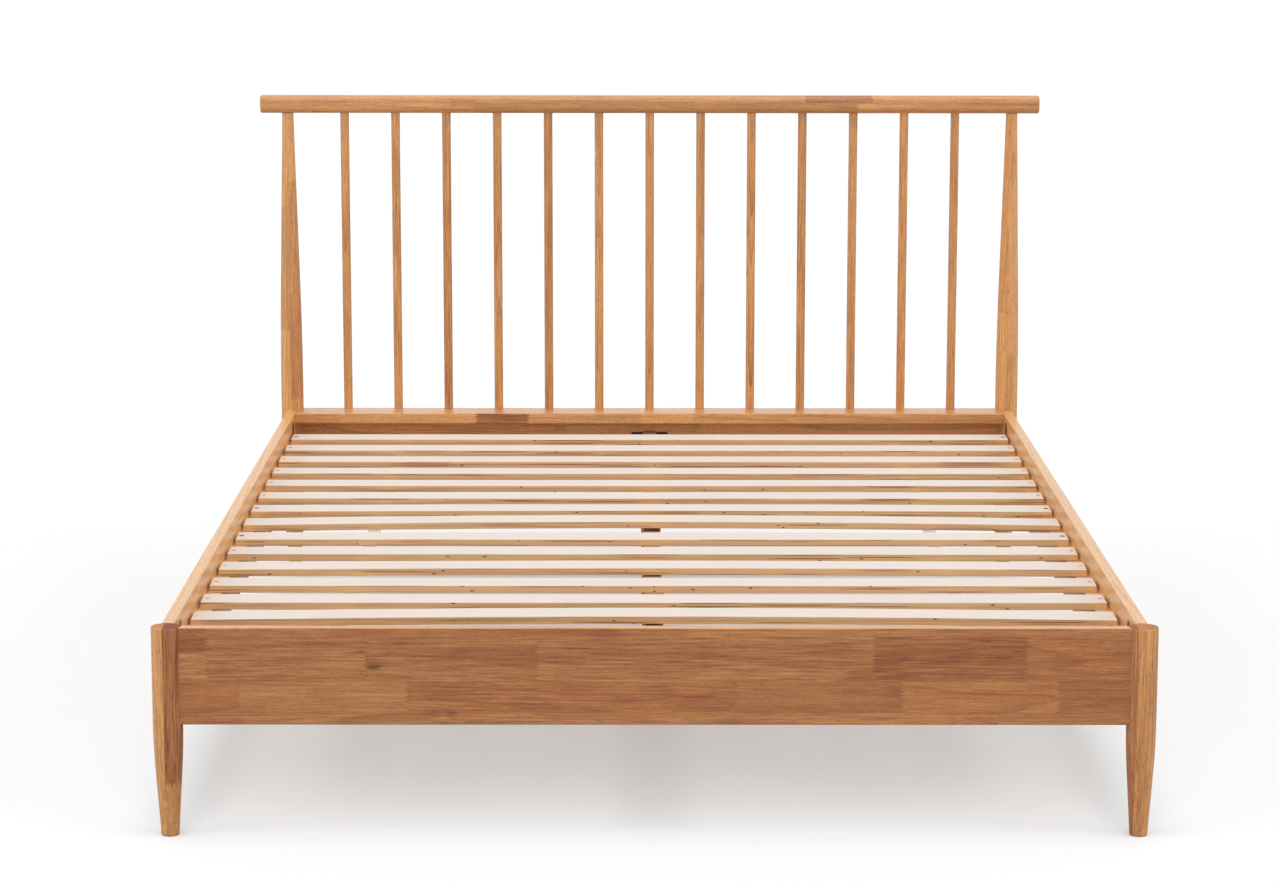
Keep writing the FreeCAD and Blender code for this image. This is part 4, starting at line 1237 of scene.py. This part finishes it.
def tape_line(side):
    """Points along the middle of the tape's upper face, from the foot of the bed to its head."""
    node = webbing_node(side)
    low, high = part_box(node)
    x = (low.x + high.x) / 2
    stops = []
    for number in reversed(slat_numbers):
        slat_low, slat_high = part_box(slat_name(number))
        stops.append((slat_low.y, slat_high.y, webbing_level(node, slat_low.y, slat_high.y)))
    line = []
    for stop, after in zip(stops, stops[1:] + [None]):
        near, far, level = stop
        line += [Vector((x, near, level)), Vector((x, far, level))]
        if after:
            for step in range(1, steps_in_gap):
                share = step / steps_in_gap
                y = far + (after[0] - far) * share
                z = level + (after[2] - level) * share - tape_sag * 4 * share * (1 - share)
                line.append(Vector((x, y, z)))
    return line


def webbing_level(node, near, far):
    """The height of the tape's upper face under one slat, read from the frame's own strap."""
    points = [v.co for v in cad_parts[node].data.vertices if near - 0.001 < v.co.y < far + 0.001]
    return max(point.z for point in points)


def woven_tape(name, colour):
    """Polyester webbing: ribs across the tape, and fine yarn along it."""
    material, tree, shader = start_material(name)
    place = place_node(tree, "TexCoord").outputs["Object"]
    x, y, _ = split(tree, place)[:3]
    ribs = calc(tree, "SINE", calc(tree, "MULTIPLY", y, 2 * math.pi / rib_pitch))
    yarn_turn = calc(tree, "MULTIPLY_ADD", y, 1400.0, calc(tree, "MULTIPLY", x, 2 * math.pi / yarn_pitch))
    yarns = calc(tree, "SINE", yarn_turn)
    weave = calc(tree, "MULTIPLY_ADD", ribs, 0.3, calc(tree, "MULTIPLY_ADD", yarns, 0.2, 0.5))
    fuzz = cloudy(tree, place, 700.0, 3.0)
    shade = calc(tree, "MULTIPLY_ADD", fuzz, 0.35, calc(tree, "MULTIPLY", weave, 0.65))
    dark = [part * 0.62 for part in colour[:3]] + [1.0]
    plug(tree, blend_colour(tree, shade, dark, colour), shader["Base Color"])
    plug(tree, calc(tree, "MULTIPLY_ADD", fuzz, 0.2, 0.7), shader["Roughness"])
    shader["Sheen Weight"].default_value = 0.15
    rough_up(tree, shader, weave, 0.00025, 0.8)
    return material


tape_cloth = woven_tape("woven webbing", srgb(222, 221, 216))


def make_tape(name, side):
    """One tape along its line, under all the slats."""
    mesh = bmesh.new()
    line = tape_line(side)
    profile = tape_profile()
    rings = []
    for centre in line:
        rings.append([mesh.verts.new(centre + Vector((across, 0, rise))) for across, rise in profile])
    for first, second in zip(rings, rings[1:]):
        bridge(mesh, first, second)
    mesh.faces.new(rings[0])
    mesh.faces.new(rings[-1])
    piece = make_piece(name, mesh, tape_cloth, "bed_frame", [webbing_node(side)])


make_tape("webbing_tape_left", -1)
make_tape("webbing_tape_right", 1)

# %% [markdown]
# ## Wood that is seldom seen
#
# Under the slats lie the ledgers and the centre beam, of plain softwood. The beam's two legs are
# of the frame's hardwood, and the dowels in the joints are of beech. They show only through the
# gaps or from below, but they get the same care: a board is judged from every side.

# %% Ledgers, beam, centre legs and dowels
# The upper faces of the ledgers and the beam get the paler colours: painted light from above.
ledger_top_painted_light = srgb(224, 190, 146)
ledger_edge = srgb(198, 152, 104)
beam_top_painted_light = srgb(182, 142, 106)
beam_edge = srgb(160, 122, 88)
for number, side in enumerate(("left", "right")):
    ledger_wood = softwood("ledger wood " + side, "y", 60.0 + number, ledger_top_painted_light, ledger_edge)
    dress(ledger_wood, "slat_ledger_" + side)
dress(softwood("beam wood", "y", 62.0, beam_top_painted_light, beam_edge), "centre_beam")
for number, end in enumerate(("front", "rear")):
    leg_wood = hardwood("centre leg wood " + end, "z", 64.0 + number, depth=0.5, width=0.05, length=0.5)
    dress(leg_wood, "centre_leg_" + end)
dowel_wood = hardwood("dowel beech", "z", 66.0, depth=0.3, width=0.3, length=9.0, joined=0.0)
dress(dowel_wood, "locating_dowels")
print("materials in all:", len(bpy.data.materials))

# %% [markdown]
# ## Floor
#
# The bed stands on white with a soft shadow under it. A floor that is white to the camera would
# also throw white light up at the bed from below. So it is white only where the camera sees it,
# and a mid grey for the light that bounces off it. A little glow of its own lifts it to white
# between the legs, and still leaves the shadow.

# %% Floor
floor_size = 60
floor_glow = 0.058


def make_floor():
    """A wide plane that belongs to the picture and not to the bed."""
    bpy.ops.mesh.primitive_plane_add(size=floor_size, location=(0, 0, 0))
    floor = bpy.context.object
    floor.name = "floor"
    material, tree, shader = start_material("floor")
    seen = place_node(tree, "LightPath").outputs["Is Camera Ray"]
    plug(tree, blend_colour(tree, seen, srgb(188, 188, 188), srgb(245, 247, 248)), shader["Base Color"])
    shader["Roughness"].default_value = 1.0
    shader["Specular IOR Level"].default_value = 0.0
    shader["Emission Color"].default_value = (0.9, 1.0, 1.08, 1.0)
    plug(tree, calc(tree, "MULTIPLY", seen, floor_glow), shader["Emission Strength"])
    floor.data.materials.append(material)
    print("floor is", floor_size, "metres wide")


make_floor()

# %% [markdown]
# ## Background
#
# Behind the bed is plain white, and steel should mirror that white too. The light that falls on
# the bed from all around is weaker than that, so the strength depends on the kind of ray.

# %% World
world = bpy.data.worlds.new("world")
bpy.context.scene.world = world
world.use_nodes = True
tree = world.node_tree
tree.nodes.clear()
ray = place_node(tree, "LightPath").outputs
mirrored = calc(tree, "MAXIMUM", ray["Is Glossy Ray"], ray["Is Transmission Ray"])
plain_white = calc(tree, "MAXIMUM", ray["Is Camera Ray"], mirrored)
ambient = 0.55
strength = calc(tree, "MULTIPLY_ADD", plain_white, 1.0 - ambient, ambient)
backdrop = place_node(tree, "Background", {"Color": (1, 1, 1, 1), "Strength": strength})
tree.links.new(backdrop.outputs[0], place_node(tree, "OutputWorld").inputs[0])
print("light from all around:", ambient)

# %% [markdown]
# ## Lamps
#
# In the photograph the sides of the legs and posts are brighter than their middles, and the
# footboard is darker than the tops of the slats. So two broad lamps stand low at the sides, three
# hang above, and one weak lamp stands behind the camera. Far lamps with a wide disc give the
# soft edges of a studio's large screens, and light the whole bed evenly.

# %% Lamps
def add_sun(name, tilt, turn, strength, spread):
    """A far lamp. Tilt is from straight above, and turn is the way it leans: 0 is to the camera."""
    lamp = bpy.data.lights.new(name, "SUN")
    lamp.energy = strength
    lamp.angle = math.radians(spread)
    made = bpy.data.objects.new(name, lamp)
    lean = math.radians(tilt)
    heading = math.radians(turn)
    source = Vector((math.sin(lean) * math.sin(heading), -math.sin(lean) * math.cos(heading), math.cos(lean)))
    made.rotation_mode = "QUATERNION"
    made.rotation_quaternion = source.to_track_quat("Z", "Y")
    bpy.context.scene.collection.objects.link(made)


add_sun("overhead", 0, 0, 0.45, 27)
add_sun("overhead front", 18, 0, 0.40, 27)
add_sun("high front", 36, 0, 0.22, 27)
add_sun("low front", 80, 0, 0.42, 40)
add_sun("side left", 77, -72, 1.15, 55)
add_sun("side right", 77, 72, 1.15, 55)
print("lamps:", len(bpy.data.lights))

# %% [markdown]
# ## The last settings
#
# The Standard view shows a colour about as it is written.

# %% Picture settings
bpy.context.scene.view_settings.view_transform = "Standard"
